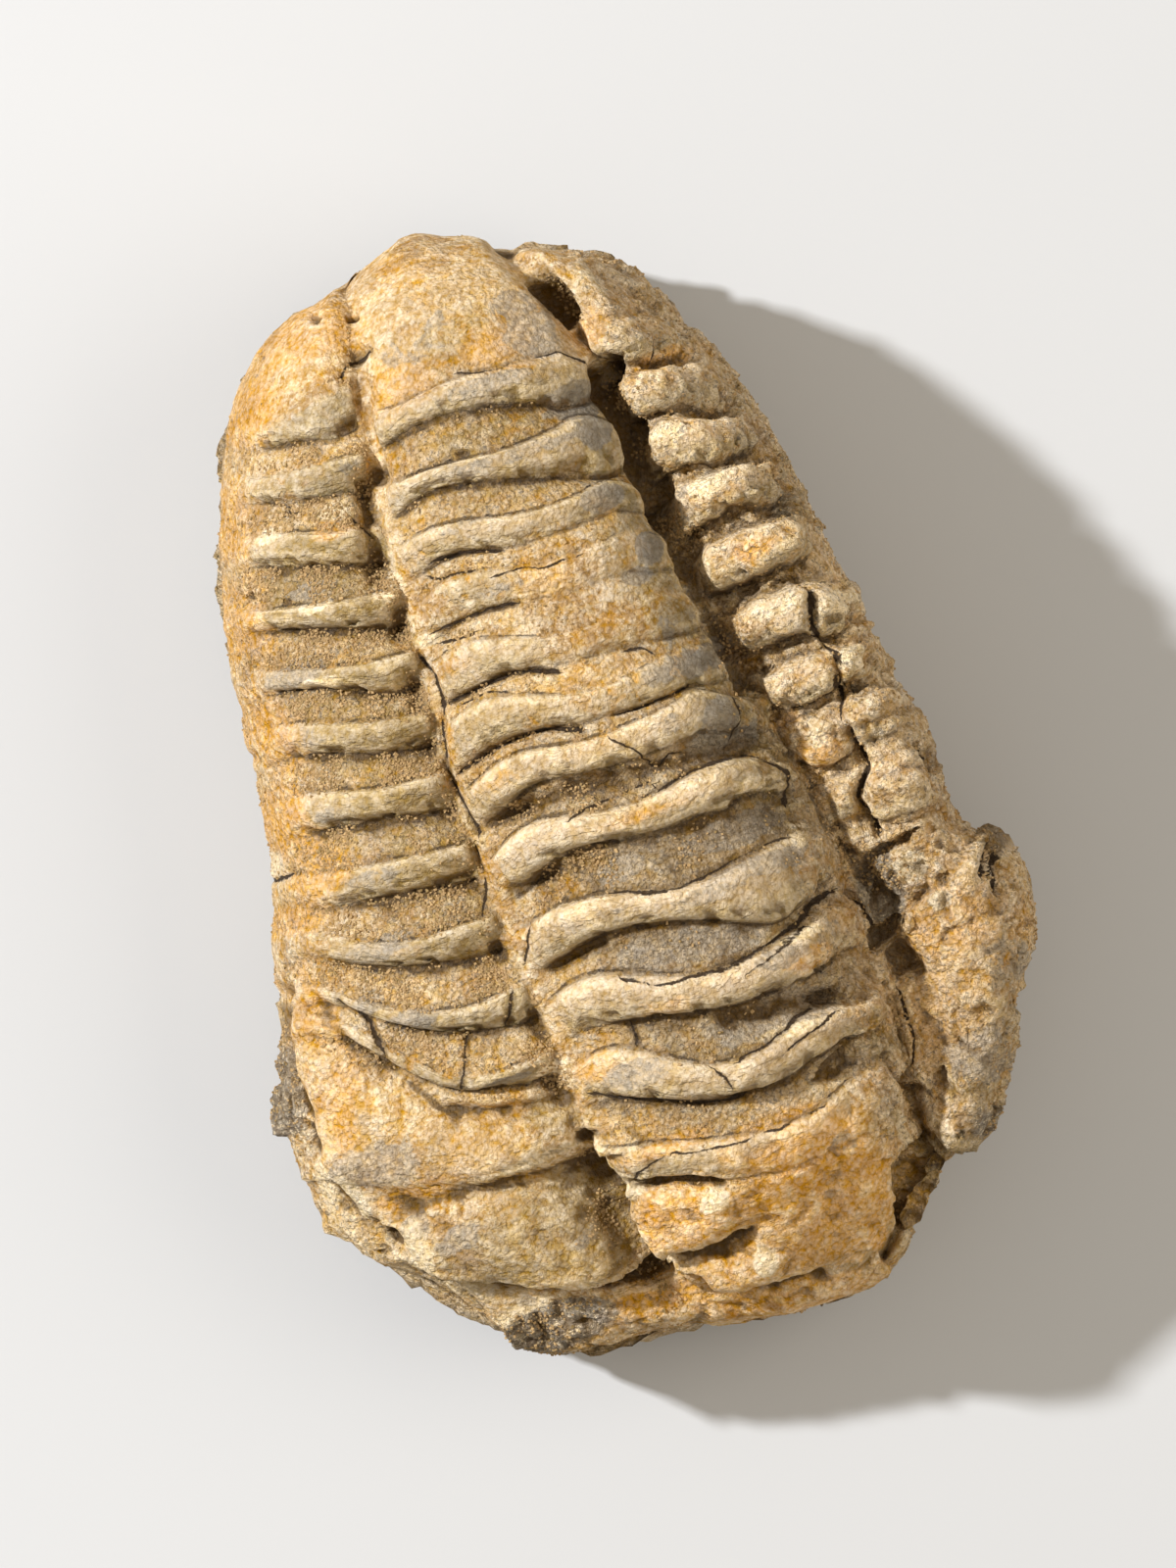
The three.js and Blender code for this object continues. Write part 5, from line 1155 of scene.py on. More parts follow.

# %% [markdown]
# ## Stains
# Iron, lime and dirt have coloured the stone in patches with a history of their own, which no rule gives, and
# some patches carry painted light and shade as well. So each stain is a soft oval, set where it belongs: rusty
# ochre, brown that is partly iron and partly painted shade on faces turned from the light, the thin grey skin
# that is left on the high places, paler worn rock with painted light on rims that would fall in shade, cream
# knocks and edges, and dark patches that are partly dark rock and partly painted shade under ledges. The
# material breaks their borders up with noise, or they would read as airbrush. A painted image would need the
# stone to be unwrapped flat first; an oval on the points doesn't.

# %% Stains
STAINS = {  # x, y, radius along x and along y, strength
    "ochre": [
        (-15.5, 31, 3, 2.5, 0.7), (-13, 33.5, 4, 1.5, 0.5), (-18.5, 25, 1.8, 3.5, 0.6),
        (-19.5, 18.5, 2, 3, 0.7), (-20, 11, 2, 3, 0.7), (-21, 5.5, 2.3, 2.5, 0.9),
        (-20, 1.5, 2.5, 1.5, 0.6), (-22.5, -0.5, 1.8, 1.2, 0.7), (-10, 34, 5, 2, 0.6),
        (-5, 29, 2.5, 2.5, 0.5), (1.5, 29.3, 3, 1.3, 0.5), (-3.5, 33.5, 3, 1.5, 0.3),
        (-3, 36, 4, 1.5, 0.35), (1, 34, 4, 2, 0.2), (-12, 22, 1.2, 0.8, 1.0), (-7, 11.5, 1, 1, 0.4),
        (-7.5, 3.5, 1.5, 1, 0.4), (11.5, 25.2, 2, 0.5, 1.0), (12.8, 12, 1, 0.6, 1.0),
        (7.5, 28.5, 1.5, 1.5, 0.5), (12.5, -1.5, 1.5, 1.3, 0.7), (11, 1, 1, 0.7, 0.6),
        (-24, -9, 2.2, 5, 1.0), (-24.5, -14, 1.5, 2, 0.7), (-21, -19.3, 3, 0.7, 0.9),
        (-16, -17.5, 3, 2.5, 0.4), (-5.5, -26, 3.3, 2.4, 1.0), (-4, -30.8, 3.2, 1.1, 1.0),
        (-5, -32.5, 2, 0.8, 0.9), (-9, -31.3, 3, 1, 1.0), (2, -28, 7, 5, 0.75), (0, -33.7, 5, 0.8, 0.8),
        (-2, -31.6, 2.2, 1.4, 1.0), (5.5, -31.5, 1, 1.2, 0.8), (16.5, -14, 3.5, 3, 0.55),
        (14, -20, 2.5, 4, 0.35), (-2, -13.5, 2, 0.7, 0.5), (7.5, -13.5, 1.5, 0.8, 0.7),
        (-7.5, -15.5, 1.5, 1, 0.7), (-5, -21.8, 3, 0.6, 0.8), (2, -22.6, 3, 0.5, 0.7), (0, 14, 3, 2, 0.3),
        (0, -1.4, 3, 0.6, 0.5),
    ],
    # Brown is partly iron stain, and partly painted shade on faces turned from the light: the left cheek's
    # slope, the lower faces and inner ends of the left ribs, the right rim and the low wall of the head.
    "brown": [
        (-14, 19, 5, 4, 0.6), (-15, 10, 5, 4, 0.55), (-2, 31, 5, 3, 0.4), (0, 23, 6, 3, 0.45),
        (0, -17, 7, 2, 0.35), (-15, 0, 5, 3, 0.3), (-15, -25, 7, 3.6, 0.6), (-11, -22.5, 3, 2, 0.8),
        (-10.8, -25, 2.6, 4, 1.0), (-14, -24, 4, 3, 0.6), (0, 24.7, 5, 0.8, 0.5), (0, 20.2, 5, 0.7, 0.4),
        (18, -23, 3, 4, 0.4), (-16, -17, 4, 1.6, 0.5), (-11, -17.5, 2.5, 1.6, 0.6),
        (4, -28.5, 4.5, 3.5, 0.5), (5, -32, 4, 1.5, 0.8), (11, -29, 3.5, 2.4, 1.0), (19, -20, 2, 5, 0.4),
        (14.5, -24, 2, 3, 0.5), (-12.5, 4, 4.5, 14, 0.5), (-13, 9.5, 4, 1, 0.6), (-13, 4.2, 4, 1, 0.6),
        (-13, -1.2, 4, 1, 0.6), (-13, -6, 3.5, 0.9, 0.5), (16, 13, 1.2, 5, 0.45), (15, 22, 1, 3, 0.4),
        (9.5, -3, 1.5, 4, 0.35), (10, -20, 1.2, 3, 0.5),
    ],
    "grey": [
        (-2, 32, 5, 3.5, 0.32), (1, 8, 5, 3, 0.35), (3, -7.5, 4, 0.8, 0.6), (5, 24.5, 3, 1.2, 0.5),
        (5, 6.5, 3, 1, 0.5), (-20, -17, 4, 2.5, 0.4), (-3, -11.5, 4, 0.8, 0.5), (9, 30, 2.5, 2, 0.35),
        (-13, 28, 3, 2, 0.3), (17, -14, 3, 4, 0.3), (3.2, 31.7, 1.3, 0.9, 0.9), (4, 29.5, 1.8, 2, 0.8),
        (-4, 31, 2.2, 1.5, 0.5), (-1.5, 32.2, 1.5, 1, 0.5), (0, 27.2, 4, 0.7, 0.7), (0, 22.4, 5, 0.6, 0.6),
        (5.3, 22.2, 1, 1, 0.7), (-4, 19.3, 1.6, 0.4, 0.6), (4.5, 18, 1.2, 0.8, 1.0),
        (-3.5, 14.8, 2, 0.6, 0.6), (6.2, 14.2, 0.9, 1, 1.0), (5, 12.8, 1, 0.6, 0.7),
        (4, 3.2, 2.5, 0.9, 0.4), (7, 2.5, 1, 1.3, 0.7), (6, 1, 3, 1, 0.7), (-3, -6.4, 2, 0.6, 0.5),
        (6, -7, 3, 0.7, 1.0), (-2, -4.5, 2, 1, 0.8), (5, -4.5, 3.5, 1.3, 0.9), (-1, -10, 3, 1.2, 0.9),
        (3, -11, 3, 1, 0.8), (5.5, -12.8, 2, 0.6, 0.8), (9, -12.3, 1.5, 1, 0.5), (4, -16.3, 4.5, 1.3, 1.0),
        (-5, -16.8, 2.5, 1.2, 0.8), (-9, 28.3, 2, 0.6, 0.5), (-9.5, 25, 1.6, 0.9, 0.5),
        (-15, 18.8, 2, 0.5, 0.9), (-17, 14, 2, 0.9, 1.0), (-15.5, 14.5, 1.5, 0.5, 0.7),
        (-17, 10, 2, 0.8, 0.5), (-18, 5, 1.5, 0.6, 0.7), (-17, 0.3, 2.2, 0.7, 0.6),
        (-18, -4, 2.5, 0.8, 0.8), (-20, -7, 1.5, 1, 0.7), (-17.5, -9, 2, 1, 0.7),
        (-13, -14.5, 2, 0.5, 0.7), (-22.5, -17, 3, 1.5, 1.0), (-20, -15, 2.5, 1.8, 0.4),
        (-21.5, -21.3, 1.1, 0.8, 0.8), (-19, -22.7, 1.4, 0.9, 0.8), (-12, -25.5, 0.9, 0.8, 0.6),
        (15.5, -23, 2, 2, 0.7), (19, -17.5, 1.5, 2, 0.6), (9.8, 7, 0.9, 0.6, 0.7), (9.5, 17, 1, 0.6, 0.5),
        (6, -25.5, 1.5, 0.8, 0.5), (-16.5, -2, 3, 0.5, 0.3), (15.7, -4.8, 1.2, 0.8, 0.4),
    ],
    # Pale is paler worn rock, and partly painted light on rims, knobs and slopes that would otherwise fall in
    # shade.
    "pale": [
        (-5.5, -26, 3.2, 2, 1.0), (4, -26, 4.5, 4, 0.8), (2, -1.3, 6, 0.8, 0.7), (0, 3.3, 6, 0.9, 0.6),
        (0, 7.5, 5, 1.2, 0.5), (11, 16.3, 2.6, 1.4, 1.0), (12.2, 11.8, 2.6, 1.6, 0.9),
        (11.5, 20.5, 2.6, 1.4, 0.8), (10.5, 24.5, 2.4, 1.4, 0.6), (12, 7.5, 2.2, 1.3, 0.7),
        (12.5, 3.3, 2, 1.2, 0.7), (17, 22, 1, 8, 0.5), (16.6, 10, 1, 6, 0.6), (-11.5, -14.8, 3, 0.5, 0.8),
        (6, -32, 2, 1, 0.8), (20, -17, 1, 4, 0.7), (-15, -31, 2.5, 0.8, 0.5), (-26, -12, 0.8, 4, 0.6),
        (-3, 2.9, 5, 0.6, 0.4), (9, 23.5, 1, 3, 0.6), (-8.8, 25, 1, 2.5, 0.6), (8, -19, 2.5, 0.6, 0.7),
        (14, -4, 3, 3, 0.4), (-16, -7.5, 5, 1, 0.3), (-14, -27, 3, 2.5, 0.6), (0, -5.5, 7, 0.8, 0.3),
    ],
    "cream": [
        (11.4, 16.8, 1.3, 0.7, 1.0), (15.9, 3.4, 0.6, 0.8, 0.9), (16.2, 7, 1.2, 0.8, 0.6),
        (12.5, -0.5, 0.7, 0.6, 0.7), (15.5, -10.3, 0.9, 0.9, 0.9), (9.2, -6.3, 0.6, 0.4, 1.0),
        (16.6, -12.8, 0.7, 0.6, 0.9), (7, -11.9, 1.6, 0.3, 1.0), (5, -17.5, 2.2, 0.3, 1.0),
        (-11.5, 23, 1.6, 0.8, 0.7), (-16, 22.8, 1, 0.6, 0.7), (-16.3, 12.9, 1.8, 0.4, 0.8),
        (-23, 3.3, 0.9, 0.9, 0.9), (-8.7, 13.3, 0.9, 0.4, 0.9), (-9.8, 17.3, 1.2, 0.7, 0.8),
        (-8.3, -23.5, 1, 1, 0.8), (-3.2, -25.9, 1, 0.6, 0.9), (-12.5, -19.8, 3, 0.4, 0.8),
        (-21.7, -23.5, 0.8, 2.6, 0.8), (-24.6, -18.6, 0.8, 1.8, 0.8), (9.4, -25.4, 0.4, 1.3, 1.0),
        (-10, -14.8, 1.5, 0.6, 0.6), (10, 20.5, 1.2, 1, 0.4), (13, 8, 2, 0.6, 0.5),
        (-14.5, 17.7, 1, 0.5, 0.8), (8, 31.5, 2, 1.5, 0.4), (-17, -29, 2.5, 0.6, 0.7),
        (-1.5, -30.6, 0.8, 0.7, 0.8), (-26.6, -17, 0.6, 2, 0.7), (7.5, -2, 2, 0.5, 0.4),
        (-7.2, 31.5, 1.5, 0.6, 0.5),
    ],
    # Dark is partly dark rock, and partly painted shade under the left ends of the rings, in the head's hollows
    # and on faces turned from the light.
    "dark": [
        (-16.5, -31, 3.2, 1.1, 0.3), (-13, -32, 2.2, 0.7, 0.35), (11.5, -29.5, 3.2, 2.2, 0.3),
        (14.5, -27, 1.2, 1.4, 0.2), (-26.9, -10, 1.1, 3, 0.35), (8, -27, 1.5, 2.5, 0.2),
        (12.5, -4.5, 1.6, 1.2, 0.2), (13.5, -11, 1.6, 1.5, 0.3), (-25.7, -6.5, 0.6, 1.6, 0.7),
        (16, 14, 1.3, 1.6, 0.35), (18.8, -4.4, 0.7, 1.2, 0.5), (20.5, -10.5, 0.8, 1, 0.6),
        (5.8, 31.5, 0.9, 1.8, 0.7), (5.5, -4.5, 4, 1.4, 0.3), (-4, 1.4, 4.5, 0.7, 0.35),
        (-5.5, -3.2, 3, 0.6, 0.35), (-5, -8.8, 3, 0.5, 0.3),
    ],
}

# %% [markdown]
# ## The stone as a mesh
# Now the shaped grid becomes the piece that stands for the solid, and every colour zone is written on its
# points in one loop. A zone on the points stays with the surface, so a stain never slides when the stone is
# seen from another side. Most zones are shares from 0 to 1, and most follow the ribs: the band itself, its
# lower half, which gets painted shade, its foot, where a painted shadow line runs, the wide trough before some
# rings, which is darker stone with painted shade in it, and the sides that lie turned from the light, which
# get painted shade.

# %% The stone as a mesh
EDGE_RUN = 0.05  # the share of a segment over which a band's colour sets in
# The right flank of the middle lobe lies turned from the light, so grey and olive painted shade is laid on it.
GREY_SHADE_FLANK, OLIVE_SHADE_FLANK = 0.3, 1.25  # how grey and how olive the right flank of the middle lobe is
FULL_CRACK = 25  # per mm of half width: a crack hides the lip that it follows
stone_piece_mesh = stone_mesh(shaped)
stone_piece_mesh.materials.append(stone_finish)
stone_piece_mesh.shade_smooth()
# Painted shade: the right flank of the middle lobe, which falls away from the light.
shaded_right_flank = (part == MIDDLE) * ramp(across, 0.3, 0.75) * (1 - ramp(place, 7, 10)) * ramp(place, 0.5, 1)
band = ramp(band_share, BAND_START, BAND_START + EDGE_RUN) * rib_share(2)
broad = kind_shares()["broad_ring"] * (1 - np.abs(across) ** 6)
# Painted shade: the inner ends of the left ribs, which slope away from the light towards the furrow.
shaded_inner_ends = (part == LEFT) * (1 - ramp(across, 0.35, 0.75)) * band
head_foot = ramp(-smooth[..., 1], 27, 30) * bell((smooth[..., 0] - 1) / 7)
crack_distance, crack_width = crack_lines(smooth)
lip_distance, lip_width = lips()
zones = {kind: spots_share(spots) for kind, spots in STAINS.items()}
# The grey zone is grey skin, and also painted shade on the right flank.
zones["grey"] = zones["grey"] + GREY_SHADE_FLANK * shaded_right_flank
zones |= {
    "fine_hollow": fine_hollow,
    "wide_hollow": wide_hollow,
    "crack_distance": crack_distance,  # mm, with a sign for the side
    "crack_width": crack_width * feature_share,  # mm
    "lip_distance": lip_distance,  # mm, with a sign for the side
    "lip_width": lip_width * (1 - np.clip(crack_width * FULL_CRACK, 0, 1)),  # mm
    "inset": band_inset(),  # mm, with a sign for the side
    "rib_place": place,  # in segments
    "groove": in_groove,
    "step": rib_share(2),
    "rubble": rubble,
    "crushed": crushed,
    "gritty": gritty,
    # The wide troughs: greyer stone, and painted shade in the hollow before a broad ring.
    "trough": broad * ramp(smooth[..., 0], -7.5, -3),
    "pale_band": band * broad,
    "band": band,
    # Painted shade on the lower half of each band, which slopes away from the light.
    "band_low": band * ramp(band_share, 0.58, 0.95),
    # Where the painted shadow line at the foot of each band runs.
    "foot": ramp(np.abs(band_share - 0.5), 0.3, 0.4) * rib_share(1.6),
    # Painted shade on the turned right flank and on the inner ends of the left ribs.
    "olive": shaded_inner_ends + OLIVE_SHADE_FLANK * shaded_right_flank,
    "under": blurred(1 - on_back, 2, 3) * (1 - 0.7 * head_foot),
}
for zone, shares in zones.items():
    write_attribute(stone_piece_mesh, zone, shares)
print("colour zones:", len(zones))
stone = placed("trilobite_stone", stone_piece_mesh)
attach(stone, "root")
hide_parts("fossil_trilobite")

# %% [markdown]
# ## The stone's finish
# The real surface is a thin grey-brown skin of shell over sandy tan stone, rubbed pale on its edges, rusty
# where iron has soaked in, and dark with dirt in the hollows. The material lays those colours one over the
# other as coats of paint, from the widest to the smallest, and paints shade in among them: in the hollows, on
# the lower half of each band and on the sides that lie turned from the light, with a little painted light on
# the pale patches. First come the noises that everything is broken up with: plain ones, flat facets like split
# rock, and rounded grains packed like sugar. All are fixed to the stone, in mm, so the grit keeps its size
# wherever it is seen from.

# %% Stone noises
LAYERS = 7.0
SEGMENT_LENGTH = 4.6  # mm along the back, near enough for noise


def noise_at(t, size, detail=3.0, roughness=0.55, shift=0.0, distortion=0.0):
    """Noise from 0 to 1 whose features are about `size` mm across, fixed to the stone."""
    moved = t.vector("ADD", t.node("ShaderNodeTexCoord", out=3), (shift, shift * 0.7, -shift))
    return t.node("ShaderNodeTexNoise", Vector=moved, Scale=1 / (size * MM), Detail=detail,
                  Roughness=roughness, Distortion=distortion)


def bent_place(t, size, bend):
    """The place on the stone in steps of `size` mm, pushed about so that no edge runs straight."""
    return t.vector("MULTIPLY_ADD", t.node("ShaderNodeTexCoord", out=3), (1 / (size * MM),) * 3, bend)


def facets_at(t, size, bend):
    """Flat facets about `size` mm across, each tilted its own way, like the faces of broken rock."""
    bent = bent_place(t, size, bend)
    middle = t.node("ShaderNodeTexVoronoi", out=2, Vector=bent, Scale=1.0)
    tilt = t.vector("SUBTRACT", Value(t, middle.socket.node.outputs["Color"]), (0.5, 0.5, 0.5))
    return t.vector("DOT_PRODUCT", t.vector("SUBTRACT", bent, middle), tilt, out=1)


def sugar_at(t, size, bend):
    """Rounded grains about `size` mm across, packed together: 1 on top of a grain, less between."""
    gap = t.node("ShaderNodeTexVoronoi", Vector=bent_place(t, size, bend), Scale=1.0)
    return (1 - gap * gap * 1.6).clamped()


def surface(t, name):
    """A stored attribute of the mesh, in a material."""
    return t.node("ShaderNodeAttribute", {"attribute_name": name}, out=2)


def layers_at(t):
    """Thin worn layers that follow the ribs: their height from 0 to 1, and the seams between them."""
    spot = t.node("ShaderNodeSeparateXYZ", Vector=t.node("ShaderNodeTexCoord", out=3))
    x = Value(t, spot.socket.node.outputs["X"])
    z = Value(t, spot.socket.node.outputs["Z"])
    along_body = surface(t, "rib_place") * SEGMENT_LENGTH * MM
    grainwise = t.node("ShaderNodeCombineXYZ", X=x * 0.4, Y=along_body, Z=z * 0.4)
    height = t.node("ShaderNodeTexNoise", Vector=grainwise, Scale=1 / (1.1 * MM), Detail=3.0,
                    Roughness=0.6, Distortion=0.3) * LAYERS
    rise = height.math("FRACT").step(0.55, 1.0)
    return (height.math("FLOOR") + rise) / LAYERS, rise * (1 - rise) * 4.0

# %% [markdown]
# ## The masks
# A mask says from 0 to 1 how far one thing shows: the skin, a crack, the foot of a band. Each starts from a
# zone on the mesh and is moved by a noise before it is cut off sharply. So a band keeps its drawn place, but
# its border is as ragged as a flaked edge. The colour and the relief read the same masks; a crack that is
# dark in one place and deep in another would look painted on.

# %% Stone masks
def thin_line(distance, half):
    """1 within `half` mm of where a distance passes nought, and nothing where half is too thin."""
    return ((half - distance.math("ABSOLUTE")) / 0.04 + 0.5).clamped() * half.step(0.02, 0.05)


class StoneMasks:
    """The noises and masks that both the colour and the bump of the stone read."""

    def __init__(self, t):
        self.patch = noise_at(t, 5.0, 3.0, 0.6)
        self.mottle = noise_at(t, 1.7, 4.0, 0.65, 0.1, 0.6)
        self.crust = noise_at(t, 0.6, 4.0, 0.8, 0.15)
        self.grain = noise_at(t, 0.2, 2.0, 0.7, 0.2)
        self.layer, self.seam = layers_at(t)
        self.facet = facets_at(t, 0.5, self.crust * 1.5)
        self.sugar = sugar_at(t, 0.36, self.crust * 0.9)
        self.lump = sugar_at(t, 0.75, self.grain * 0.6) * self.mottle.step(0.42, 0.62)
        self.find_bands(t)
        self.find_lines(t)
        self.grey = (surface(t, "grey") * 0.9 + self.mottle * 1.1 - 0.95).step(0.0, 0.12)
        self.hole = (self.crust * self.grain - 0.31).step(0.0, 0.04) * surface(t, "gritty").step(0.2, 0.8)

    def find_bands(self, t):
        """The bands, the troughs before them, the painted shadow line at a band's foot, and the skin left on.
        """
        inset = surface(t, "inset") + (self.crust - 0.5) * 0.7 + (self.mottle - 0.5) * 0.9
        self.band = inset.step(-0.03, 0.03) * surface(t, "step")
        self.trough = (1 - inset.step(-0.04, 0.04)) * surface(t, "trough")
        # Painted shadow: a dark line just below the lower edge of a band.
        foot = ((0.1 - (inset + 0.05).math("ABSOLUTE")) / 0.05 + 0.5).clamped()
        self.foot = foot * surface(t, "foot") * self.mottle.step(0.35, 0.55)
        skin = self.band * 0.5 - surface(t, "crushed") * 0.25 + self.patch * 0.8 + self.mottle * 0.8
        self.skin = (skin - 1.02).step(0.0, 0.06)

    def find_lines(self, t):
        """The cracks, the shadow line under each lip, and the rubbed edge on it."""
        side = surface(t, "crack_distance") + (self.crust - 0.5) * 0.35
        self.crack = thin_line(side, surface(t, "crack_width") * (self.mottle * 3.0 - 0.85))
        lip = surface(t, "lip_distance") + (self.crust - 0.5) * 0.45
        self.lip = thin_line(lip + 0.08, surface(t, "lip_width") * (self.mottle * 4.0 - 1.5))
        self.edge = lip.step(0.0, 0.06) * (1 - lip.step(0.12, 0.34)) * surface(t, "lip_width") * 7.0

# %% [markdown]
# ## The colours
# Each coat is a pair: how much it covers, and its own colour. The ground comes first, with painted shade on
# the turned sides and the lower halves of the bands, then the stains, some of which carry painted shade and
# some painted light, then the wear and the dirt, with painted shade in the hollows and painted shadow lines
# under the lips and at the feet of the bands. Last the colour is shaded by the grit itself, and the dark
# grains are given more colour than the light ones, as if they had stayed damp. Stone that only gets darker
# and lighter looks grey.

# %% Stone colour
TAN = (0.47, 0.28, 0.108)
SAND = (0.64, 0.43, 0.2)
SKIN = (0.40, 0.30, 0.172)
PALE_SKIN = (0.58, 0.43, 0.25)
PALE_SAND = (0.80, 0.605, 0.395)
TROUGH_GREY_AND_SHADE = (0.26, 0.2, 0.125)
OLIVE_SHADE = (0.17, 0.13, 0.056)
BROWN = (0.33, 0.225, 0.09)
OCHRE = (0.57, 0.285, 0.065)
PALE_OCHRE = (0.78, 0.48, 0.19)
GREY = (0.36, 0.315, 0.255)
SHADED_GREY = (0.2, 0.18, 0.155)
CREAM = (0.84, 0.67, 0.42)
SLATE = (0.19, 0.155, 0.12)
DIRT_AND_SHADE = (0.15, 0.09, 0.034)
CRACK_AND_SHADOW = (0.055, 0.033, 0.016)
ROCK = (0.42, 0.29, 0.155)


def mixed(t, factor, a, b):
    """Colour a turned into colour b by a factor from 0 to 1."""
    settings = {"data_type": "RGBA", "clamp_factor": True}
    a, b = ((*c, 1.0) if isinstance(c, tuple) else c for c in (a, b))
    return t.node("ShaderNodeMix", settings, out=2, _0=factor, _6=a, _7=b)


def coated(t, colour, *coats):
    """The colour under several coats, each a pair: how much it covers, and its own colour."""
    for cover, paint in coats:
        colour = mixed(t, cover, colour, paint)
    return colour


def ground_colour(t, m, rust, ochre):
    """Sandy stone with rust soaked in, the skin over it, painted light on the crushed side, and painted shade
    on the troughs and turned sides.
    """
    mottle = m.mottle
    return coated(
        t, TAN,
        (m.patch.step(0.4, 0.6), SAND),
        (rust.step(0.46, 0.7) * (0.6 - m.band * 0.3), ochre),
        ((m.crust * mottle - 0.2).step(0.0, 0.12) * 0.6, CREAM),
        (m.skin * 0.75, mixed(t, rust.step(0.42, 0.58), PALE_SKIN, SKIN)),
        (surface(t, "pale_band") * mottle.step(0.3, 0.6) * 0.6, PALE_SAND),
        # Paler rock on the crushed right side, partly painted light that lifts the side sloping from the lamp.
        (surface(t, "crushed") * (mottle - 0.1).step(0.2, 0.5) * 0.45, PALE_SAND),
        (surface(t, "groove") * mottle.step(0.35, 0.6) * 0.5, SAND),
        # The wide troughs before the broad rings: greyer stone, with painted shade in the hollow.
        (m.trough * (mottle + 0.25).clamped() * 0.8, TROUGH_GREY_AND_SHADE),
        # Painted shade: olive on the sides turned from the light.
        (surface(t, "olive") * mottle.step(0.25, 0.55) * 0.55, OLIVE_SHADE),
        # Painted shade: olive over the lower half of each band.
        (surface(t, "band_low") * mottle.step(0.25, 0.6) * 0.8, OLIVE_SHADE),
    )


def stained_colour(t, m, colour, ochre):
    """The drawn stains over the ground, brown partly as painted shade, and the bare rock round the underside.
    """
    grey = mixed(t, m.crust.step(0.4, 0.65), GREY, PALE_SKIN)
    # Where the olive painted shade lies, the grey skin turns to a shaded grey: painted shade too.
    grey = mixed(t, surface(t, "olive") * 0.8, grey, SHADED_GREY)
    return coated(
        t, colour,
        # The brown stains: partly iron, and partly painted shade on faces turned from the light.
        ((surface(t, "brown") + m.mottle * 1.2 - 0.8).step(0.0, 0.5) * 0.8, BROWN),
        ((surface(t, "ochre") + m.mottle * 1.3 - 0.8).step(0.0, 0.5) * 0.85, ochre),
        (m.grey * 0.72, grey),
        (surface(t, "under") * 0.7, mixed(t, m.mottle.step(0.3, 0.7), ROCK, TAN)),
    )


def worn_colour(t, m, colour):
    """Rubbed cream edges, speckled broken rock, grime and painted shade in the hollows, painted shadow lines,
    and cracks.
    """
    rubbed = (0 - surface(t, "fine_hollow")).step(0.3, 1.1) * m.mottle.step(0.3, 0.6)
    rubbed = rubbed * (1 - m.grey * 0.75)
    cream = (surface(t, "cream") + m.crust * 1.0 - 0.7).step(0.0, 0.35)
    edge = m.edge * m.crust.step(0.4, 0.6)
    speckled = mixed(t, m.crust.step(0.52, 0.6), mixed(t, m.mottle.step(0.4, 0.6), SLATE, GREY), CREAM)
    dark = (surface(t, "dark") + m.mottle * 0.8 - 0.55).step(0.0, 0.5)
    # Painted shade and grime in the wide and fine hollows, lighter on the crushed side.
    hollow_shade_and_dirt = surface(t, "wide_hollow").step(0.2, 1.2) * 0.6 + surface(t, "fine_hollow").step(0.25, 1.3) * 0.45
    hollow_shade_and_dirt = hollow_shade_and_dirt * (1 - surface(t, "crushed") * 0.4)
    return coated(
        t, colour,
        ((rubbed * 0.5 + cream * 0.8 + edge * 0.6).clamped(), CREAM),
        ((surface(t, "rubble") * 1.5 + m.mottle - 1.0).step(0.0, 0.3) * 0.8, speckled),
        # Painted shade and grime in the hollows, with the dark stains, which are partly painted shade too.
        ((hollow_shade_and_dirt * (0.3 + m.crust * 1.4) + dark * 0.75).clamped(), DIRT_AND_SHADE),
        # Painted shade: a faint dark line along the steps between the worn layers.
        (m.seam * m.mottle.step(0.45, 0.6) * 0.2, DIRT_AND_SHADE),
        # Dark cracks and pits in the stone, and painted shadow lines under the lips and at the feet of the
        # bands.
        ((m.crack + m.lip * 0.6 + m.foot * 0.6 + m.hole * 0.6).clamped(), CRACK_AND_SHADOW),
    )


def stone_colour(t, m):
    """All the coats, with the lightness and the depth of colour that the grit gives them."""
    rust = noise_at(t, 2.4, 4.0, 0.6, 0.4, 0.8)
    ochre = mixed(t, m.mottle.step(0.3, 0.75), OCHRE, PALE_OCHRE)
    colour = stained_colour(t, m, ground_colour(t, m, rust, ochre), ochre)
    colour = worn_colour(t, m, colour)
    rough_here = 0.55 + surface(t, "gritty")
    shade = 0.97 + ((m.crust.step(0.3, 0.7) - 0.5) * 0.28 + (m.grain.step(0.3, 0.7) - 0.5) * 0.18
                    + (m.sugar - 0.5) * 0.12) * rough_here
    # The pale stains lighten the colour: paler worn rock, and painted light on rims and knobs that would fall
    # in shade.
    shade = shade * (0.8 + m.mottle * 0.4) * (1 + surface(t, "pale") * 0.28)
    soaked = 1.01 - (m.crust - 0.5) * 0.8 - (m.sugar - 0.5) * 0.3 - (m.grain - 0.5) * 0.4
    soaked = soaked + (rust - 0.5) * 0.6
    colour = t.node("ShaderNodeHueSaturation", Saturation=soaked, Color=colour)
    return t.vector("SCALE", colour, Scale=shade)

# %% [markdown]
# ## The grit
# Detail finer than the mesh is left to a bump: it changes only how the light falls, and costs no faces. It
# is a sum of heights in mm, so each part of it can be given the depth that it has on real stone. The bands
# are worn smoother than the grooves between them, and a little shinier.

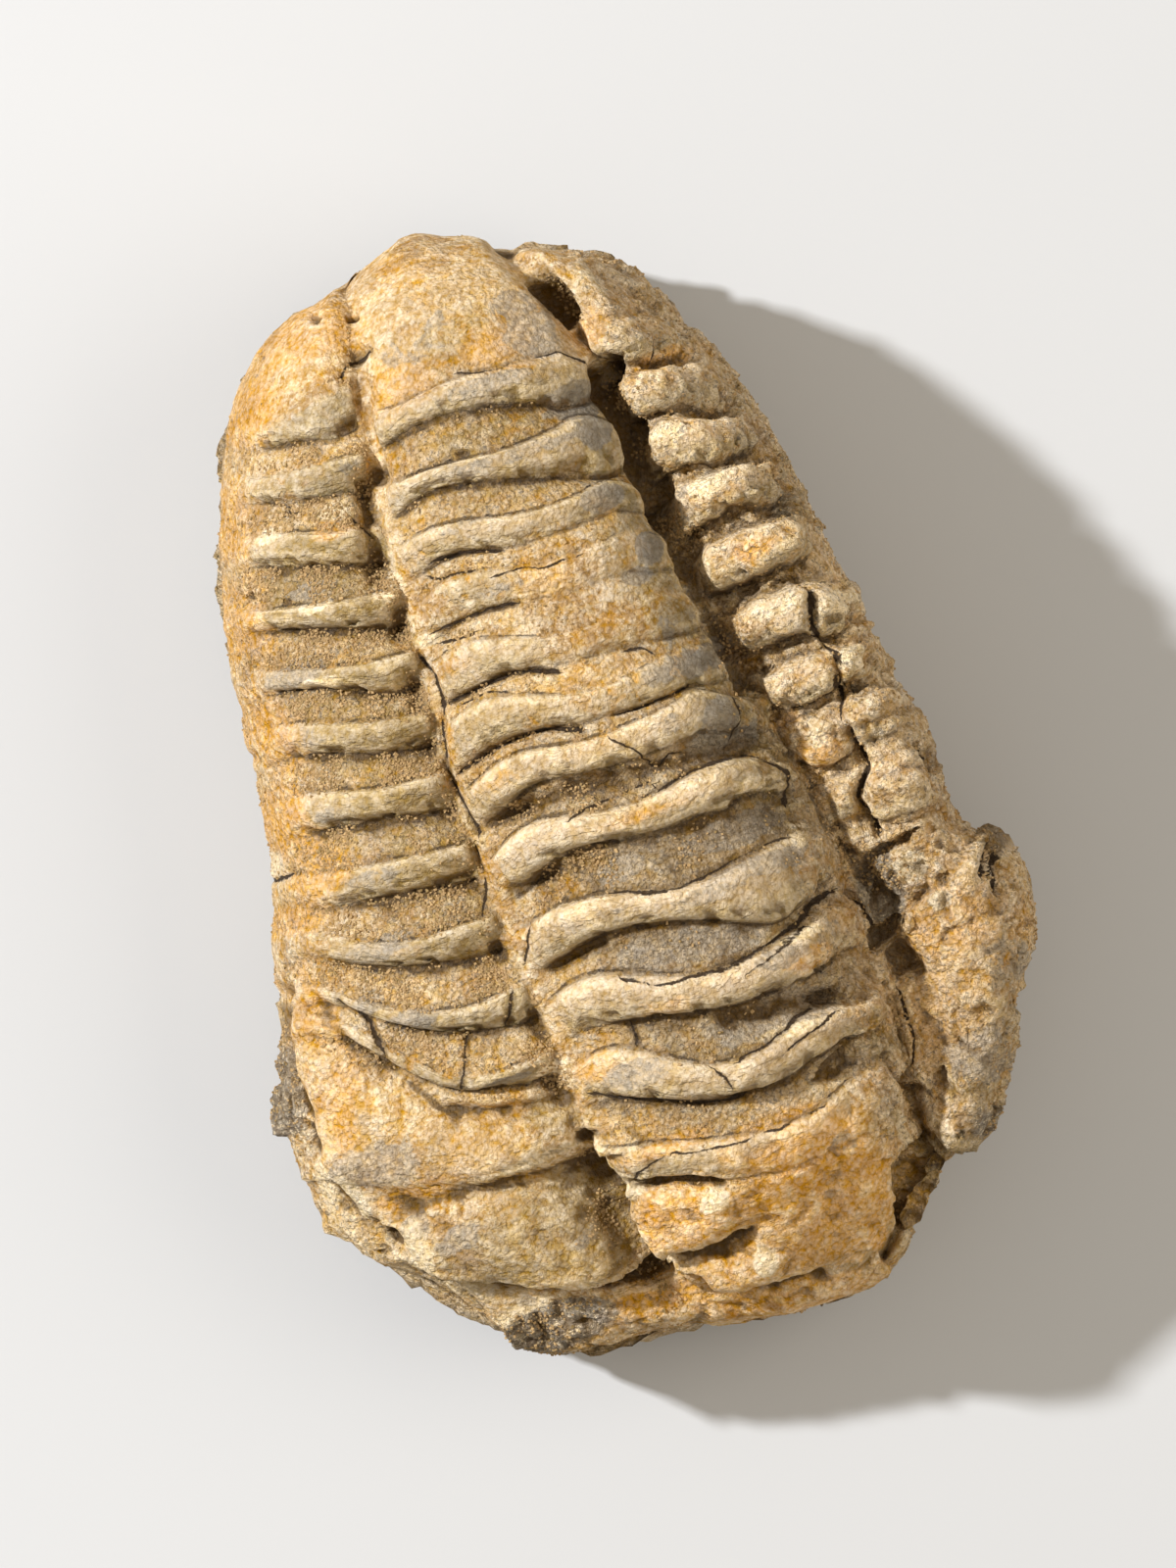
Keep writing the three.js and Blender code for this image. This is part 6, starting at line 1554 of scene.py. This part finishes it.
# %% Stone material
def stone_height(t, m):
    """The relief that is finer than the mesh, in mm."""
    gritty_here = (0.4 + surface(t, "gritty")) * (1 - m.band * 0.35)
    grit = (m.crust * 0.3 + m.grain * 0.26 + m.facet * 0.16 + m.sugar * 0.15 + m.lump * 0.1) * gritty_here
    grit = grit + m.skin * 0.06
    layers = m.layer * (0.15 + surface(t, "band") * 0.3)
    return grit + layers - m.crack * 0.25 - m.lip * 0.15 - m.foot * 0.15 + m.band * 0.08 - m.hole * 0.15


def matt_shader(material):
    """The material's shader, as dull as stone, and its node tree."""
    material.use_nodes = True
    shader = material.node_tree.nodes["Principled BSDF"]
    shader.inputs["Specular IOR Level"].default_value = 0.3
    return shader, Tree(material.node_tree)


def make_stone_finish(material):
    """Joins the colour, the grit and the shine to the shader."""
    shader, t = matt_shader(material)
    m = StoneMasks(t)
    bump = t.node("ShaderNodeBump", Strength=1.0, Distance=MM, Height=stone_height(t, m))
    roughness = 0.92 - surface(t, "band") * 0.16 - m.grey * 0.1
    links = material.node_tree.links
    links.new(bump.socket, shader.inputs["Normal"])
    links.new(stone_colour(t, m).socket, shader.inputs["Base Color"])
    links.new(roughness.socket, shader.inputs["Roughness"])


make_stone_finish(stone_finish)
print("stone finish:", len(stone_finish.node_tree.nodes), "nodes")

# %% [markdown]
# ## Sand grains in the furrows
# Loose grains of the stone still cling in the furrows and round the broken knobs, with some larger crumbs of
# rock. Each is only one to three tenths of a millimetre across, below what the stone's own faces can show,
# so they are pieces of their own: a Geometry Nodes tree drops points on the surface, more where it is
# gritty, and sets an angular chip on each. A chip is a box of 12 triangles, squashed, turned and sized at
# random from a fixed seed. A round ball would need more faces, and broken stone isn't round.

# %% Sand grains
FULL_TURN = 6.28  # radians
GRAIN_TAN = (0.44, 0.29, 0.135)
GRAIN_PIECES = {  # how many a square metre, smallest and largest half sizes in mm, seed
    "sand_grains": (26e6, (0.04, 0.04, 0.03), (0.11, 0.1, 0.08), 5),
    "rock_crumbs": (7e6, (0.06, 0.06, 0.04), (0.14, 0.12, 0.09), 8),
}


def grain_tree():
    """Chips on the surface, as thick as its grain_share says, each with a tint of its own."""
    tree, t, inputs = geometry_tree(
        "sand_grains", Grains_a_square_metre="NodeSocketFloat", Smallest="NodeSocketVector",
        Largest="NodeSocketVector", Seed="NodeSocketInt", Stone="NodeSocketMaterial")
    here = stored(t, "grain_share") * inputs["Grains a square metre"]
    points = t.node("GeometryNodeDistributePointsOnFaces", Mesh=inputs["Geometry"], Density=here,
                    Seed=inputs["Seed"])
    size = t.node("FunctionNodeRandomValue", {"data_type": "FLOAT_VECTOR"}, _0=inputs["Smallest"],
                  _1=inputs["Largest"], Seed=inputs["Seed"])
    turn = t.node("FunctionNodeRandomValue", {"data_type": "FLOAT_VECTOR"}, _1=(FULL_TURN,) * 3, Seed=2)
    chip = t.node("GeometryNodeMeshCube", Size=(2.0, 2.0, 2.0))
    grains = t.node("GeometryNodeInstanceOnPoints", Points=points, Instance=chip, Rotation=turn, Scale=size)
    tint = t.node("FunctionNodeRandomValue", {"data_type": "FLOAT"}, out=1, Seed=3)
    tinted = t.node("GeometryNodeStoreNamedAttribute", {"data_type": "FLOAT", "domain": "INSTANCE"},
                    Geometry=grains, Name="tint", Value=tint)
    finish_geometry(t, tinted, inputs["Stone"])
    return tree


def make_grain_finish(material):
    """Brown, tan and sandy chips: one tint for each chip, speckled a little."""
    shader, t = matt_shader(material)
    shader.inputs["Roughness"].default_value = 0.9
    tint = surface(t, "tint")
    colour = mixed(t, tint.step(0.0, 0.4), BROWN, GRAIN_TAN)
    colour = mixed(t, tint.step(0.6, 1.0) * 0.7, colour, SAND)
    speck = noise_at(t, 0.1, 1.0) * 0.6 + 0.55
    shaded = t.vector("SCALE", colour, Scale=speck)
    material.node_tree.links.new(shaded.socket, shader.inputs["Base Color"])


grain_finish = bpy.data.materials.new("sand_grain")
make_grain_finish(grain_finish)
# Most grains lie in the grooves of the left side and of the middle rings, and along the two furrows.
furrow_share = bell(across / 0.1) * ((part == LEFT) | (part == RIGHT)) * on_back
sandy_ring = (part == LEFT) + (part == MIDDLE) * (0.1 + 0.6 * ramp(place, 2.5, 3.5) * (1 - ramp(place, 8, 9)))
grain_share = in_groove * sandy_ring * (1 - ramp(smooth[..., 0], -2, 6)) + 0.06 * crushed + 0.6 * furrow_share
grain_share = grain_share + 0.25 * broken_head * bell((smooth[..., 0] + 9.5) / 1.5) + 0.3 * rubble
grain_share = np.clip(grain_share, 0, 1) * ramp(rock_noise(smooth, 1.8, 2, 41), -0.25, 0.35) * on_back
bed_mesh = stone_mesh(shaped)
write_attribute(bed_mesh, "grain_share", grain_share)
bed = placed("grain_bed", bed_mesh)
for name, (amount, smallest, largest, seed) in GRAIN_PIECES.items():
    grain_mesh = grown(bed, grain_tree(), {
        "Grains a square metre": amount, "Smallest": [v * MM for v in smallest],
        "Largest": [v * MM for v in largest], "Seed": seed, "Stone": grain_finish})
    grains = placed(name, grain_mesh)
    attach(grains, "root")
    print(name + ":", len(grain_mesh.vertices) // 8, "chips,", 2 * len(grain_mesh.polygons), "triangles")
bpy.data.objects.remove(bed)

# %% [markdown]
# ## The table under it
# The stone needs something to lie on, or it would hang in the air when seen from the side. A plain pale
# plane does it, a tenth of a millimetre below the worn flat, so that the two faces never coincide.

# %% Floor
REACH = 3.0
FLOOR_GREY = (0.55, 0.56, 0.575, 1)
floor_mesh = bpy.data.meshes.new("floor")
floor_mesh.from_pydata([(-REACH, -REACH, 0), (REACH, -REACH, 0), (REACH, REACH, 0), (-REACH, REACH, 0)],
                       [], [(0, 1, 2, 3)])
floor = placed("floor", floor_mesh)
floor.location.z = -0.1 * MM
floor_finish = bpy.data.materials.new("pale floor")
floor_finish.use_nodes = True
floor_finish.node_tree.nodes["Principled BSDF"].inputs["Base Color"].default_value = FLOOR_GREY
floor_mesh.materials.append(floor_finish)
